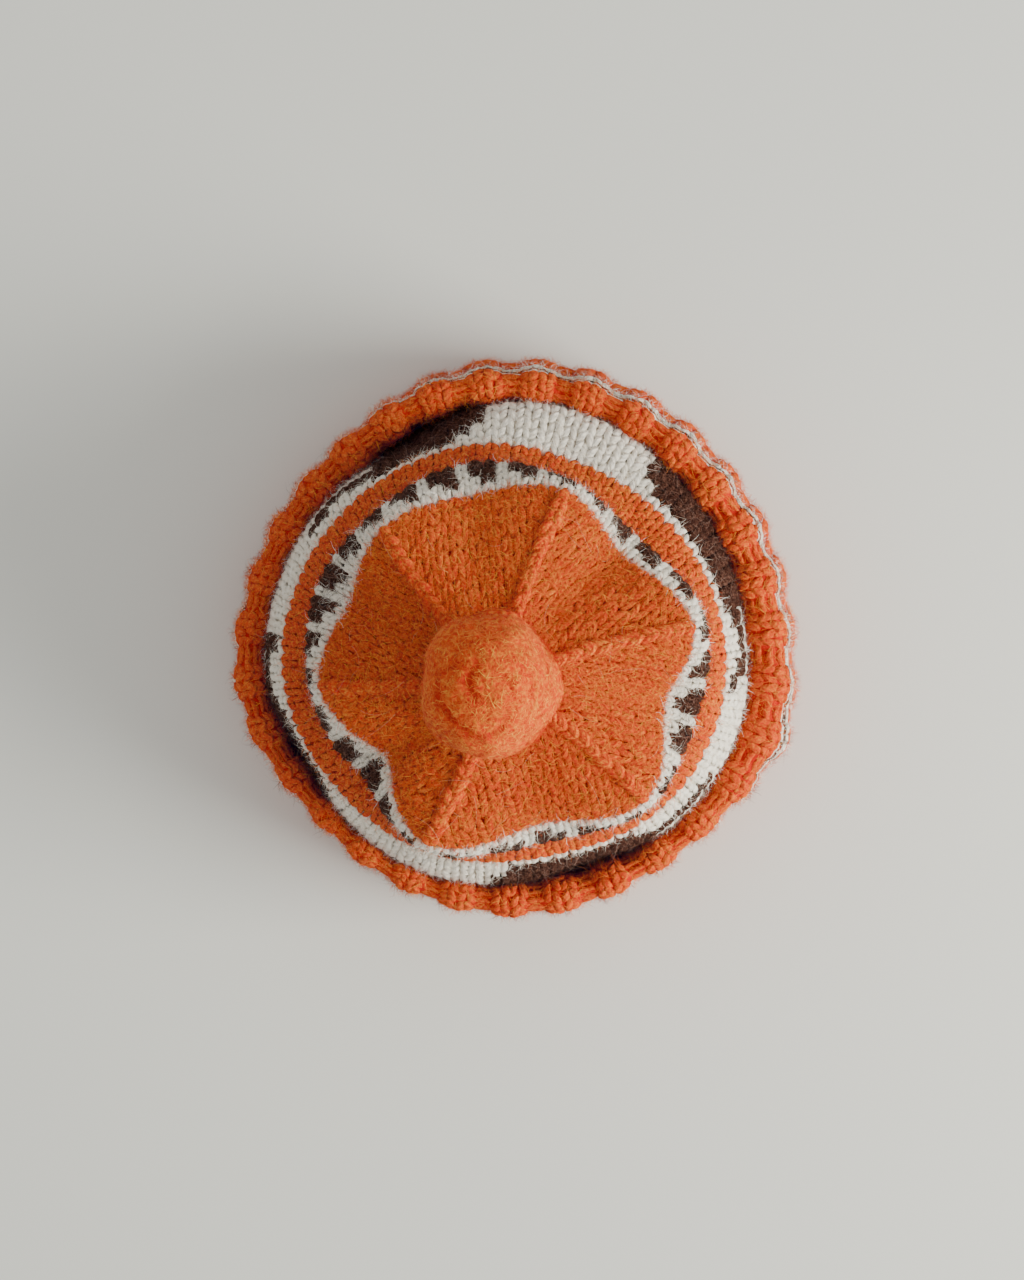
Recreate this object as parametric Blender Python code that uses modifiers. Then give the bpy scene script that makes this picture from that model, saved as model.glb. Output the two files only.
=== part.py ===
"""Knitted hat with a felted toorie, standing upright on its turned-up ribbed cuff.

Lengths are in metres and +Z is up. Bearings are in degrees, clockwise from +Y seen from above.
A turn of 0 to 1 runs once round the hat, and it starts at the first ridge of the crown.
"""
import math
from collections import namedtuple

import bmesh
import bpy
import numpy as np

# Body
BODY_RADIUS = 0.0737       # mean outer radius where the body leaves the cuff
WALL = 0.0035              # one layer of two-colour knitting
MOTIF_DEPTH = 0.0190       # knitted depth of the motif that shows above the cuff
RING_DEPTH = 0.0120        # knitted depth of the plain ring
CHECK_DEPTH = 0.0135       # knitted depth of the checked ring
DENT_DEPTH = 0.0060        # deepest hollow in the wall

# Crown
CROWN_PANELS = 6
CROWN_RISE = 0.0110        # crown's centre above the mean height of its edge
CROWN_SHIFT_X = -0.0038    # crown's centre from the cuff's axis
CROWN_SHIFT_Y = -0.0111
CROWN_SWIRL = 6.0          # degrees that the ridges curl on their way in
RIDGE_HEIGHT = 0.0012
RIDGE_WIDTH = 0.0022       # half width of a decrease ridge
FIRST_RIDGE = 20.0         # bearing of the first ridge

# Cuff
CUFF_HEIGHT = 0.0515
CUFF_THICKNESS = 0.0102    # two layers of ribbing and the fold between them
CUFF_FLARE = 0.0060        # widest spread of the hat's foot beyond its rim
FOLD_RISE = 0.0055         # height of the rounded fold at the rim
FOOT_ROUND = 0.0030
SHOULDER = 0.3             # share of that rounding left at its middle
LIP_HEIGHT = 0.0060        # bottom fold that carries the body's lower edge
RIBS = 31
FIRST_FURROW = 0.2         # bearing of the first furrow between two ribs
RIB_DEPTH = 0.0014
INNER_RIB = 0.6            # share of RIB_DEPTH on the face that lies against the body
RIM_WAVE = 0.0010
CUFF_BULGE = 0.0028        # slack that the outer layer shows in one place
BULGE_BEARING = 109.0
BULGE_SPREAD = 8.0
BULGE_HEIGHT = 0.70        # share of the fold's height where it is widest

# Toorie
TOORIE_WIDTH = 0.0396
TOORIE_LENGTH = 0.0415
TOORIE_HEIGHT = 0.0360
TOORIE_LEAN_X = -0.0032    # how far its top hangs over to the left of its seat
TOORIE_LEAN_Y = -0.0018    # and towards the front
TOORIE_CREASE = 0.0008
TOORIE_SINK = 0.76         # share of its lower half that shows above the flat seat

GAP = 0.0003               # clearance between touching pieces
NEAR = 1e-6                # points closer than this are one

# Levels of the body's surface, from its lower edge to the crown's centre
FOOT, RIM, RING_OUTER, RING_INNER, CROWN_EDGE, CROWN_MIDDLE, CROWN_CENTRE = range(7)
CROWN_MIDDLE_REACH = 0.50  # share of the way out where the crown's middle level runs
CROWN_MIDDLE_RISE = 0.72   # share of the rise from edge to centre that it has by then
BELLY = 0.40               # share of the cuff's height where the foot spreads most
FOOT_SPREAD = 0.90         # share of that spread left at the lower edge
NECK = 0.92                # share of the cuff's height where the spread ends
TOORIE_COVERS = 5.4        # level of the crown from which the toorie lies over it

# One row for every half panel, ridges and panel middles in turn. waist is a share of BODY_RADIUS,
# the slopes are the part of each band's depth that runs inward, turn is how many degrees the
# crown's edge is ahead of the rim, thickness a share of CUFF_THICKNESS, flare one of CUFF_FLARE.
Bearing = namedtuple("Bearing", "waist motif_slope ring_slope check_slope turn thickness flare")
BEARINGS = (
    Bearing(1.000, 0.81, 0.57, 0.28, 0.0, 0.97, 1.05),
    Bearing(0.968, 0.60, 0.88, 0.54, 2.0, 1.18, 0.98),
    Bearing(0.968, 0.40, 0.45, 0.33, 5.0, 1.32, 0.84),
    Bearing(1.016, 0.41, 0.60, 0.80, 2.0, 1.31, 0.52),
    Bearing(1.020, 0.39, 0.40, 0.14, -1.0, 0.92, 0.17),
    Bearing(1.004, 0.44, 0.43, 0.47, 0.0, 1.09, 0.13),
    Bearing(1.024, 0.39, 0.23, 0.10, 2.0, 0.80, 0.15),
    Bearing(1.004, 0.29, 0.62, 0.68, -2.0, 0.76, 0.25),
    Bearing(1.028, 0.33, 0.70, 0.27, -3.0, 1.01, 0.13),
    Bearing(0.984, 0.33, 0.54, 0.80, -6.0, 0.95, 0.42),
    Bearing(0.962, 0.41, 0.62, 0.40, -9.0, 1.04, 0.36),
    Bearing(1.004, 0.67, 0.54, 0.73, -4.5, 1.00, 0.80),
)

# Hollows pushed into the body: where they lie, how far they spread and their share of DENT_DEPTH
Dent = namedtuple("Dent", "bearing spread level reach depth")
DENTS = (
    Dent(336.0, 17.0, 1.15, 0.55, 1.00),
    Dent(160.0, 13.0, 1.10, 0.50, 0.62),
    Dent(242.0, 11.0, 1.10, 0.50, 0.66),
    Dent(228.0, 8.0, 3.60, 0.80, 0.55),
)

# Fineness of the meshes
BODY_STEPS = 72
CUFFED_LEVELS = (0.33, 0.66)  # rows of the body inside the cuff, which the cuff's face repeats
OPEN_LEVELS = (1.0, 1.33, 1.67, 2.0, 2.5, 3.0, 3.5, 3.85, 4.15, 4.5, 5.0, 5.5, 6.0)
RIB_STEPS = 6
FOLD_STEPS = 5
TOORIE_SEGMENTS = 24
TOORIE_RINGS = 14


def curve(before, here, after, beyond, share):
    """Smooth curve from here to after that also heeds the points on either side."""
    linear = after - before
    square = 2.0 * before - 5.0 * here + 4.0 * after - beyond
    cube = beyond - before + 3.0 * (here - after)
    return here + 0.5 * share * (linear + share * (square + share * cube))


def around(column, turn):
    """Value of one column of BEARINGS at each turn, on a smooth closed curve."""
    values = np.array([getattr(row, column) for row in BEARINGS])
    place = np.mod(turn, 1.0) * len(values)
    row = np.floor(place).astype(int)
    near = [values[(row + step) % len(values)] for step in (-1, 0, 1, 2)]
    return curve(*near, place - row)


def spot(radius, bearing, height):
    """World point from a radius, a bearing in degrees and a height."""
    angle = np.radians(bearing)
    return np.stack([radius * np.sin(angle), radius * np.cos(angle), height + 0.0 * angle], axis=-1)


def wall_radius(turn, height):
    """Outer radius of the body inside the cuff, where the foot spreads."""
    share = np.clip(np.asarray(height) / CUFF_HEIGHT, 0.0, 1.0)
    upper = 0.5 + 0.5 * np.cos(math.pi * np.clip((share - BELLY) / (NECK - BELLY), 0.0, 1.0))
    lower = 1.0 - (1.0 - FOOT_SPREAD) * np.clip((BELLY - share) / BELLY, 0.0, 1.0) ** 2
    return BODY_RADIUS * around("waist", turn) + CUFF_FLARE * around("flare", turn) * upper * lower


def wall_height(level):
    """Height of the body's wall at a level between its lower edge and the rim."""
    foot = LIP_HEIGHT + GAP
    return foot + (CUFF_HEIGHT - 0.5 * FOLD_RISE - foot) * level


def fold_level():
    """Level of the body's wall where the cuff's fold begins."""
    return (CUFF_HEIGHT - FOLD_RISE - wall_height(FOOT)) / (wall_height(RIM) - wall_height(FOOT))


def band_levels(turn):
    """Radius and height of the rim and of the three bands above it."""
    radius = BODY_RADIUS * around("waist", turn)
    height = wall_height(RIM) + 0.0 * radius
    rings = [(radius, height)]
    bands = (("motif_slope", MOTIF_DEPTH), ("ring_slope", RING_DEPTH), ("check_slope", CHECK_DEPTH))
    for column, depth in bands:
        slope = np.clip(around(column, turn), 0.0, 0.95)
        radius = radius - slope * depth
        height = height + np.sqrt(1.0 - slope ** 2) * depth
        rings.append((radius, height))
    return rings


def crown_centre():
    """Highest point of the crown, from the mean height of its edge."""
    edge = band_levels(np.arange(len(BEARINGS)) / len(BEARINGS))[-1][1]
    return np.array([CROWN_SHIFT_X, CROWN_SHIFT_Y, edge.mean() + CROWN_RISE])


def key_points(turn):
    """Points of the body's surface on each level from the rim up, with one more below."""
    bearing = FIRST_RIDGE + 360.0 * turn
    lead = around("turn", turn)
    rings = band_levels(turn)
    keys = [spot(rings[0][0], bearing, rings[0][1] - MOTIF_DEPTH)]
    for index, (radius, height) in enumerate(rings):
        keys.append(spot(radius, bearing + lead * index / (len(rings) - 1), height))
    centre = crown_centre()
    keys.append(crown_middle(keys[-1], centre))
    keys.append(np.broadcast_to(centre, keys[-1].shape))
    return keys


def crown_middle(edge, centre):
    """Points between the crown's edge and its centre, turned by the swirl."""
    curl = math.radians(CROWN_SWIRL * (1.0 - CROWN_MIDDLE_REACH))
    arm = (edge - centre) * CROWN_MIDDLE_REACH
    x = arm[..., 0] * math.cos(curl) - arm[..., 1] * math.sin(curl)
    y = arm[..., 0] * math.sin(curl) + arm[..., 1] * math.cos(curl)
    rise = edge[..., 2] + (centre[2] - edge[..., 2]) * CROWN_MIDDLE_RISE
    return np.stack([centre[0] + x, centre[1] + y, rise], axis=-1)


def smooth_step(low, high, value):
    """0 below low, 1 above high and an even climb between them."""
    share = np.clip((value - low) / (high - low), 0.0, 1.0)
    return share * share * (3.0 - 2.0 * share)


def body_surface(turn, level):
    """Outer surface of the body; level runs from FOOT to CROWN_CENTRE."""
    turn = np.asarray(turn, dtype=float)
    level = np.asarray(level, dtype=float)
    keys = key_points(turn)
    keys.append(key_points(turn + 0.5)[-2])
    stack = np.stack(keys)
    low = np.clip(np.floor(level).astype(int), RIM, CROWN_MIDDLE)
    each = np.arange(len(turn))
    share = np.clip(level - low, 0.0, 1.0)[:, None]
    point = curve(stack[low - 1, each], stack[low, each], stack[low + 1, each], stack[low + 2, each], share)
    height = wall_height(level)
    inside = spot(wall_radius(turn, height), FIRST_RIDGE + 360.0 * turn, height)
    point = np.where((level < RIM)[:, None], inside, point)
    return point + dent_offset(turn, level) + ridge_offset(point, turn, level)


def dent_offset(turn, level):
    """Inward push of every hollow."""
    bearing = FIRST_RIDGE + 360.0 * turn
    push = np.zeros(len(turn))
    for dent in DENTS:
        away = np.mod(bearing - dent.bearing + 180.0, 360.0) - 180.0
        weight = np.exp(-(away / dent.spread) ** 2 - ((level - dent.level) / dent.reach) ** 2)
        push += DENT_DEPTH * dent.depth * weight
    return spot(-push, bearing, 0.0)


def ridge_offset(point, turn, level):
    """Lift of the decrease ridges, one between each two panels of the crown."""
    panel = np.mod(turn * CROWN_PANELS + 0.5, 1.0) - 0.5
    reach = np.hypot(point[:, 0] - CROWN_SHIFT_X, point[:, 1] - CROWN_SHIFT_Y)
    aside = panel / CROWN_PANELS * 2.0 * math.pi * reach
    fade = smooth_step(CROWN_EDGE - 0.2, CROWN_EDGE + 0.2, level)
    fade = fade * (1.0 - smooth_step(CROWN_CENTRE - 0.6, CROWN_CENTRE - 0.2, level))
    lift = RIDGE_HEIGHT * fade * np.exp(-(aside / RIDGE_WIDTH) ** 2)
    return np.stack([0.0 * lift, 0.0 * lift, lift], axis=-1)


def rib_valley(turn):
    """1 in the middle of the furrow between two ribs, 0 along the top of a rib."""
    ahead = turn + (FIRST_RIDGE - FIRST_FURROW) / 360.0
    return (0.5 + 0.5 * np.cos(2.0 * math.pi * RIBS * ahead)) ** 1.5


def cuff_surface(turn, offset, height):
    """Place on the cuff of a point of its plain section, offset from the body's face."""
    middle = 0.5 * (GAP + CUFF_THICKNESS)
    half = CUFF_THICKNESS - middle
    fold = CUFF_HEIGHT - FOLD_RISE
    over = height > fold + NEAR
    across = np.where(over, (offset - middle) / half, np.where(offset > middle, 1.0, -INNER_RIB))
    across = np.where(height < LIP_HEIGHT + NEAR, np.maximum(across, 0.0), across)
    along = np.where(over, (height - fold) / FOLD_RISE, 0.0)
    thick = np.where(offset > GAP, GAP + (offset - GAP) * around("thickness", turn), offset)
    furrow = RIB_DEPTH * rib_valley(turn)
    away = np.mod(FIRST_RIDGE + 360.0 * turn - BULGE_BEARING + 180.0, 360.0) - 180.0
    slack = np.exp(-(away / BULGE_SPREAD) ** 2 - ((height / fold - BULGE_HEIGHT) * 4.0) ** 2)
    thick = thick + np.where(offset > middle, CUFF_BULGE * slack, 0.0)
    radius = wall_radius(turn, height) + thick - furrow * across
    wave = np.sin(4.0 * math.pi * turn + 0.8) + 0.6 * np.sin(6.0 * math.pi * turn)
    lift = RIM_WAVE * wave * smooth_step(LIP_HEIGHT, fold, height)
    return spot(radius, FIRST_RIDGE + 360.0 * turn, height + lift - furrow * along)


def cuff_section():
    """Section of the cuff as (offset from the body's face, height), once round."""
    middle = 0.5 * (GAP + CUFF_THICKNESS)
    half = CUFF_THICKNESS - middle
    fold = CUFF_HEIGHT - FOLD_RISE
    points = [(-WALL, 0.0), (CUFF_THICKNESS - FOOT_ROUND, 0.0)]
    points.append((CUFF_THICKNESS - SHOULDER * FOOT_ROUND, SHOULDER * FOOT_ROUND))
    points.append((CUFF_THICKNESS, FOOT_ROUND))
    points.append((CUFF_THICKNESS, BELLY * fold))
    points.append((CUFF_THICKNESS, 0.5 * (1.0 + BELLY) * fold))
    for step in range(FOLD_STEPS + 1):
        angle = math.pi * step / FOLD_STEPS
        points.append((middle + half * math.cos(angle), fold + FOLD_RISE * math.sin(angle)))
    points += [(GAP, wall_height(level)) for level in reversed(CUFFED_LEVELS)]
    points.append((GAP, LIP_HEIGHT))
    points.append((-WALL, LIP_HEIGHT))
    return points


def turns_of(bm):
    """Turn of every vertex of a spun mesh, from its bearing."""
    bearing = np.array([math.degrees(math.atan2(v.co.x, v.co.y)) for v in bm.verts])
    return np.mod(bearing - FIRST_RIDGE, 360.0) / 360.0


def place(bm, points):
    """Move every vertex to its point."""
    for vertex, point in zip(bm.verts, points):
        vertex.co = point


def spin(points, closed, steps, bearing):
    """Turn a line of (radius, height) points once round +Z, starting at a bearing."""
    bm = bmesh.new()
    start = math.radians(bearing)
    line = [bm.verts.new((r * math.sin(start), r * math.cos(start), z)) for r, z in points]
    pairs = list(zip(line, line[1:]))
    if closed:
        pairs.append((line[-1], line[0]))
    edges = [bm.edges.new(pair) for pair in pairs]
    bmesh.ops.spin(
        bm, geom=line + edges, cent=(0.0, 0.0, 0.0), axis=(0.0, 0.0, 1.0),
        angle=-2.0 * math.pi, steps=steps, use_merge=True, use_duplicate=False)
    bmesh.ops.remove_doubles(bm, verts=bm.verts, dist=NEAR)
    return bm


def wool(name, colour):
    """Soft matt yarn of one colour."""
    material = bpy.data.materials.new(name)
    material.use_nodes = True
    shader = material.node_tree.nodes["Principled BSDF"]
    shader.inputs["Base Color"].default_value = (*colour, 1.0)
    shader.inputs["Roughness"].default_value = 0.9
    shader.inputs["Metallic"].default_value = 0.0
    shader.inputs["Sheen Weight"].default_value = 0.4
    return material


def add_object(name, bm, materials, collection, root):
    """Object from a bmesh, smooth shaded and parented to the root."""
    bmesh.ops.recalc_face_normals(bm, faces=bm.faces)
    mesh = bpy.data.meshes.new(name)
    bm.to_mesh(mesh)
    bm.free()
    mesh.shade_smooth()
    for material in materials:
        mesh.materials.append(material)
    thing = bpy.data.objects.new(name, mesh)
    thing.parent = root
    collection.objects.link(thing)
    return thing


def make_body(collection, root, main_wool, ground_wool):
    """Hollow body: motif band, plain ring, checked ring and panelled crown in one fabric."""
    rows = (FOOT, *CUFFED_LEVELS, fold_level(), *OPEN_LEVELS)
    plain = [(min(1.0, (CROWN_CENTRE - row) / (CROWN_CENTRE - CROWN_EDGE)), row) for row in rows]
    bm = spin(plain, False, BODY_STEPS, FIRST_RIDGE)
    level = np.array([v.co.z for v in bm.verts])
    place(bm, body_surface(turns_of(bm), level))
    for face in bm.faces:
        middle = np.mean([level[v.index] for v in face.verts])
        ground = middle < RING_OUTER or RING_INNER < middle < CROWN_EDGE
        face.material_index = 1 if ground else 0
    body = add_object("body", bm, (main_wool, ground_wool), collection, root)
    shell = body.modifiers.new("wall", "SOLIDIFY")
    shell.thickness = WALL
    shell.offset = -1.0
    shell.use_even_offset = True
    return body


def make_cuff(collection, root, main_wool):
    """Doubled ribbed cuff with a rounded fold at its rim and a lip under the body."""
    plain = [(BODY_RADIUS + offset, height) for offset, height in cuff_section()]
    bm = spin(plain, True, RIBS * RIB_STEPS, FIRST_FURROW)
    offset = np.array([math.hypot(v.co.x, v.co.y) - BODY_RADIUS for v in bm.verts])
    height = np.array([v.co.z for v in bm.verts])
    place(bm, cuff_surface(turns_of(bm), offset, height))
    return add_object("cuff", bm, (main_wool,), collection, root)


def toorie_seat():
    """Height of the toorie's underside, just over the crown's highest point below it."""
    turn, level = np.meshgrid(np.linspace(0.0, 1.0, 49), np.linspace(TOORIE_COVERS, CROWN_CENTRE, 13))
    top = body_surface(turn.ravel(), level.ravel())[:, 2].max()
    return top + GAP


def make_toorie(collection, root, main_wool):
    """Felted ball, flat where it is sewn to the crown, with creases that curl round it."""
    seat = toorie_seat()
    bm = bmesh.new()
    bmesh.ops.create_uvsphere(bm, u_segments=TOORIE_SEGMENTS, v_segments=TOORIE_RINGS, radius=1.0)
    for vertex in bm.verts:
        x, y, z = vertex.co
        angle = math.atan2(y, x)
        crease = math.cos(5.0 * angle + 3.0 * z) + 0.7 * math.cos(3.0 * angle - 4.0 * z + 1.0)
        swell = 1.0 + TOORIE_CREASE / TOORIE_WIDTH * 2.0 * crease * (1.0 - z * z)
        share = max(0.0, (z + TOORIE_SINK) / (1.0 + TOORIE_SINK))
        lean = math.sin(0.5 * math.pi * share)
        vertex.co.x = CROWN_SHIFT_X + TOORIE_LEAN_X * lean + 0.5 * TOORIE_WIDTH * swell * x
        vertex.co.y = CROWN_SHIFT_Y + TOORIE_LEAN_Y * lean + 0.5 * TOORIE_LENGTH * swell * y
        vertex.co.z = seat + TOORIE_HEIGHT * share
    return add_object("toorie", bm, (main_wool,), collection, root)


def clear_scene():
    """Remove the objects of the open scene."""
    for thing in list(bpy.data.objects):
        bpy.data.objects.remove(thing, do_unlink=True)


def main():
    """Build the hat in its own collection, centred on its foot."""
    clear_scene()
    collection = bpy.data.collections.new("tam_o_shanter")
    bpy.context.scene.collection.children.link(collection)
    root = bpy.data.objects.new("tam_o_shanter", None)
    collection.objects.link(root)
    rust = wool("rust_wool", (0.60, 0.155, 0.040))
    felt = wool("felted_rust_wool", (0.66, 0.200, 0.062))
    cream = wool("cream_wool", (0.70, 0.66, 0.59))
    make_body(collection, root, rust, cream)
    cuff = make_cuff(collection, root, rust)
    make_toorie(collection, root, felt)
    low = np.min([v.co for v in cuff.data.vertices], axis=0)
    high = np.max([v.co for v in cuff.data.vertices], axis=0)
    root.location = (-0.5 * (low[0] + high[0]), -0.5 * (low[1] + high[1]), 0.0)
    bpy.context.view_layer.update()


main()
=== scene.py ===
"""Dresses the knitted hat in its stitches, felt and stray fibres, and stands it on a pale table.

Lengths are in metres and +Z is up. Bearings are in degrees, clockwise from +Y seen from above.
A turn of 0 to 1 runs once round the hat, and it starts at the first ridge of the crown.
"""

import math
from collections import namedtuple

import bmesh
import bpy
import numpy as np
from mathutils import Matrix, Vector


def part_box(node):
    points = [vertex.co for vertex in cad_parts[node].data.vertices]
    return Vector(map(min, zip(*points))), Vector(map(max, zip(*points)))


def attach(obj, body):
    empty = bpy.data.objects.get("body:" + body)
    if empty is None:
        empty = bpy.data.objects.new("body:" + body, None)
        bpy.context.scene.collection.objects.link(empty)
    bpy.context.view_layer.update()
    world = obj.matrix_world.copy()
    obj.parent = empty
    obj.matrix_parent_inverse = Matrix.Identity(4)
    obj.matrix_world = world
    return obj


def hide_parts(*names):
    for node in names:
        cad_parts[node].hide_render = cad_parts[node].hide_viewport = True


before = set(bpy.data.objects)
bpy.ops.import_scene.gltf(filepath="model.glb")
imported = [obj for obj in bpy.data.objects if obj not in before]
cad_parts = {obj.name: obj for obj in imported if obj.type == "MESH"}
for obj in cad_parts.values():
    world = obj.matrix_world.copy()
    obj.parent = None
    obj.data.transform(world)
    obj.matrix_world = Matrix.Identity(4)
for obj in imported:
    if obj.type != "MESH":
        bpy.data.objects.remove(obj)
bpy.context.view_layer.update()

bl_info = {
    "name": "Knitted Hat",
    "version": (1, 0, 0),
    "blender": (4, 5, 0),
    "location": "View3D > Sidebar > Hat",
    "description": "Knits the hat's bands, crown and cuff, felts its toorie and sets the stage",
    "category": "Object",
}

# Sizes of the body
BODY_RADIUS = 0.0737       # mean outer radius where the body leaves the cuff
WALL = 0.0035              # one layer of two-colour knitting
MOTIF_DEPTH = 0.0190       # knitted depth of the motif that shows above the cuff
RING_DEPTH = 0.0120        # knitted depth of the plain ring
CHECK_DEPTH = 0.0135       # knitted depth of the checked ring
DENT_DEPTH = 0.0060        # deepest hollow in the wall

# Sizes of the crown
CROWN_PANELS = 6
CROWN_RISE = 0.0110        # crown's centre above the mean height of its edge
CROWN_SHIFT_X = -0.0038    # crown's centre from the cuff's axis
CROWN_SHIFT_Y = -0.0111
CROWN_SWIRL = 6.0          # degrees that the ridges curl on their way in
RIDGE_HEIGHT = 0.0012
RIDGE_WIDTH = 0.0022       # half width of a decrease ridge
FIRST_RIDGE = 20.0         # bearing of the first ridge

# Sizes of the cuff
CUFF_HEIGHT = 0.0515
CUFF_THICKNESS = 0.0102    # two layers of ribbing and the fold between them
CUFF_FLARE = 0.0060        # widest spread of the hat's foot beyond its rim
FOLD_RISE = 0.0055         # height of the rounded fold at the rim
FOLD_RUN = 0.0165          # knitted length of the fold from face to face
FOOT_ROUND = 0.0030
LIP_HEIGHT = 0.0060        # bottom fold that carries the body's lower edge
RIBS = 31
FIRST_FURROW = 0.2         # bearing of the first furrow between two ribs
RIB_DEPTH = 0.0020         # 0.6 mm deeper than the solid's furrows, with the crests where they are
INNER_RIB = 0.6            # share of RIB_DEPTH on the face that lies against the body
RIM_WAVE = 0.0010
CUFF_BULGE = 0.0028        # slack that the outer layer shows in one place
BULGE_BEARING = 109.0
BULGE_SPREAD = 8.0
BULGE_HEIGHT = 0.70        # share of the fold's height where it is widest

# Sizes of the toorie
TOORIE_WIDTH = 0.0396
TOORIE_LENGTH = 0.0415
TOORIE_LEAN_X = -0.0032    # how far its top hangs over to the left of its seat
TOORIE_LEAN_Y = -0.0018    # and towards the front
TOORIE_SWELL = 0.0008      # depth of its slow swells
TOORIE_SINK = 0.76         # share of its lower half that shows above the flat seat
RUFFLE = 0.00035           # height of the felt's small swells
LOCK_RUFFLE = 0.00022      # height of its finer locks
LOCKS = 4.5                # how much finer the locks are than the small swells

GAP = 0.0003               # clearance between touching pieces
NEAR = 1e-6                # points closer than this are one

# Levels of the body's surface, from its lower edge to the crown's centre
FOOT, RIM, RING_OUTER, RING_INNER, CROWN_EDGE, CROWN_MIDDLE, CROWN_CENTRE = range(7)
CROWN_MIDDLE_REACH = 0.50  # share of the way out where the crown's middle level runs
CROWN_MIDDLE_RISE = 0.72   # share of the rise from edge to centre that it has by then
BELLY = 0.40               # share of the cuff's height where the foot spreads most
FOOT_SPREAD = 0.90         # share of that spread left at the lower edge
NECK = 0.92                # share of the cuff's height where the spread ends

# One row for every half panel, ridges and panel middles in turn
Bearing = namedtuple("Bearing", "waist motif_slope ring_slope check_slope turn thickness flare")
BEARINGS = (
    Bearing(1.000, 0.81, 0.57, 0.28, 0.0, 0.97, 1.05),
    Bearing(0.968, 0.60, 0.88, 0.54, 2.0, 1.18, 0.98),
    Bearing(0.968, 0.40, 0.45, 0.33, 5.0, 1.32, 0.84),
    Bearing(1.016, 0.41, 0.60, 0.80, 2.0, 1.31, 0.52),
    Bearing(1.020, 0.39, 0.40, 0.14, -1.0, 0.92, 0.17),
    Bearing(1.004, 0.44, 0.43, 0.47, 0.0, 1.09, 0.13),
    Bearing(1.024, 0.39, 0.23, 0.10, 2.0, 0.80, 0.15),
    Bearing(1.004, 0.29, 0.62, 0.68, -2.0, 0.76, 0.25),
    Bearing(1.028, 0.33, 0.70, 0.27, -3.0, 1.01, 0.13),
    Bearing(0.984, 0.33, 0.54, 0.80, -6.0, 0.95, 0.42),
    Bearing(0.962, 0.41, 0.62, 0.40, -9.0, 1.04, 0.36),
    Bearing(1.004, 0.67, 0.54, 0.73, -4.5, 1.00, 0.80),
)

Dent = namedtuple("Dent", "bearing spread level reach depth")
DENTS = (
    Dent(336.0, 17.0, 1.15, 0.55, 1.00),
    Dent(160.0, 13.0, 1.10, 0.50, 0.62),
    Dent(242.0, 11.0, 1.10, 0.50, 0.66),
    Dent(228.0, 8.0, 3.60, 0.80, 0.55),
)

# Gauge of the knitting
BODY_WALES = 90            # stitches round the body
PANEL_WALES = 15           # stitches of a crown panel, its ridge among them
HIDDEN_ROUNDS = 11         # rounds of the body inside the cuff
STITCHED_ROUNDS = 4        # how many of those have stitches, right under the rim
FIBRED_ROUNDS = 2.0        # how many of those have loose fibres
MOTIF_ROUNDS = 5
RING_ROUNDS = 3
CHECK_ROUNDS = 4
BAND_ROUNDS = MOTIF_ROUNDS + RING_ROUNDS + CHECK_ROUNDS
CROWN_ROUNDS = 14
COVERED_ROUNDS = 2         # rounds of the crown right under the toorie
RIDGE_ROOM = 0.35          # wales that a ridge takes from the panel beside it
CUFF_WALES = 3 * RIBS      # two knit stitches and one purl stitch to a rib
CUFF_ROUND = 0.0037        # height of one round of the cuff
CUFF_ROUNDS = 19           # rounds from its foot over the rim and a little way down inside
WALE_START = -0.1          # wales of the body ahead of the first ridge
CHECK_SWAY = 0.28          # most that the checks lie off an even spacing, in checks
SWAY_START = 0.17          # turn from which they run ahead of it
CHECKS_BACK = 0.05         # checks that they all lie back
CHECK_CROWDING = 0.11      # levels that the checked rounds are drawn towards the crown
TUCK = 0.0009              # depth of the body's plain fabric under its stitches
CUFF_TUCK = 0.0002         # the same on the cuff, whose ribs crowd together

# Points of the plain fabrics: up the body, up the cuff over its fold, down its inner face, and round
BODY_FABRIC_ROWS = 75
CUFF_FABRIC_ROWS = 44
CUFF_INNER_ROWS = 8
BODY_FABRIC_STEPS = 2 * BODY_WALES
CUFF_FABRIC_STEPS = 12 * RIBS
TOORIE_SEGMENTS = 176
TOORIE_RINGS = 112

# A strand of wool, and its thickness and lift at every quarter of its length, in half thicknesses
STRAND_SIDES = 6
STRAND_BANDS = 4
LEG_SWELL = (0.5, 0.95, 1.0, 0.92, 0.4)
LEG_LIFT = (-0.25, 0.0, 0.0, -0.25, -0.95)
BUMP_SWELL = (0.5, 0.95, 1.0, 0.95, 0.5)
LEG_START = -0.25          # a leg's lower end, its length, how far it leans out and its half width
LEG_LENGTH = 1.42
LEG_LEAN = 0.20
LEG_HALF = 0.27
BUMP_LENGTH = 1.10         # a bump's length, the height of its ends, of its bow and its half width
BUMP_START = 0.30
BUMP_BOW = 0.25
BUMP_HALF = 0.36
FULLED = 0.82              # thickness of a strand as a share of its width
CUFF_FULLED = 0.6          # the same in the ribs
BUMP_LIFT = 0.0002         # how far purl bumps are lifted in the furrows
RIDGE_SIZE = 1.25          # size of a ridge's stitches beside the others
RIDGE_LIFT = 0.0005
RIDGE_APART = 0.04         # how far a leg starts from its wale's middle, in wales, on a ridge
LEG_APART = 0.12           # and elsewhere
UNEVEN_ACROSS = 0.5        # how far stitches stand off sideways, as a share of the unevenness
UNEVEN_ALONG = 0.7         # and lengthways
UNEVEN_OUT = 0.00010       # and outwards, as a length

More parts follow.
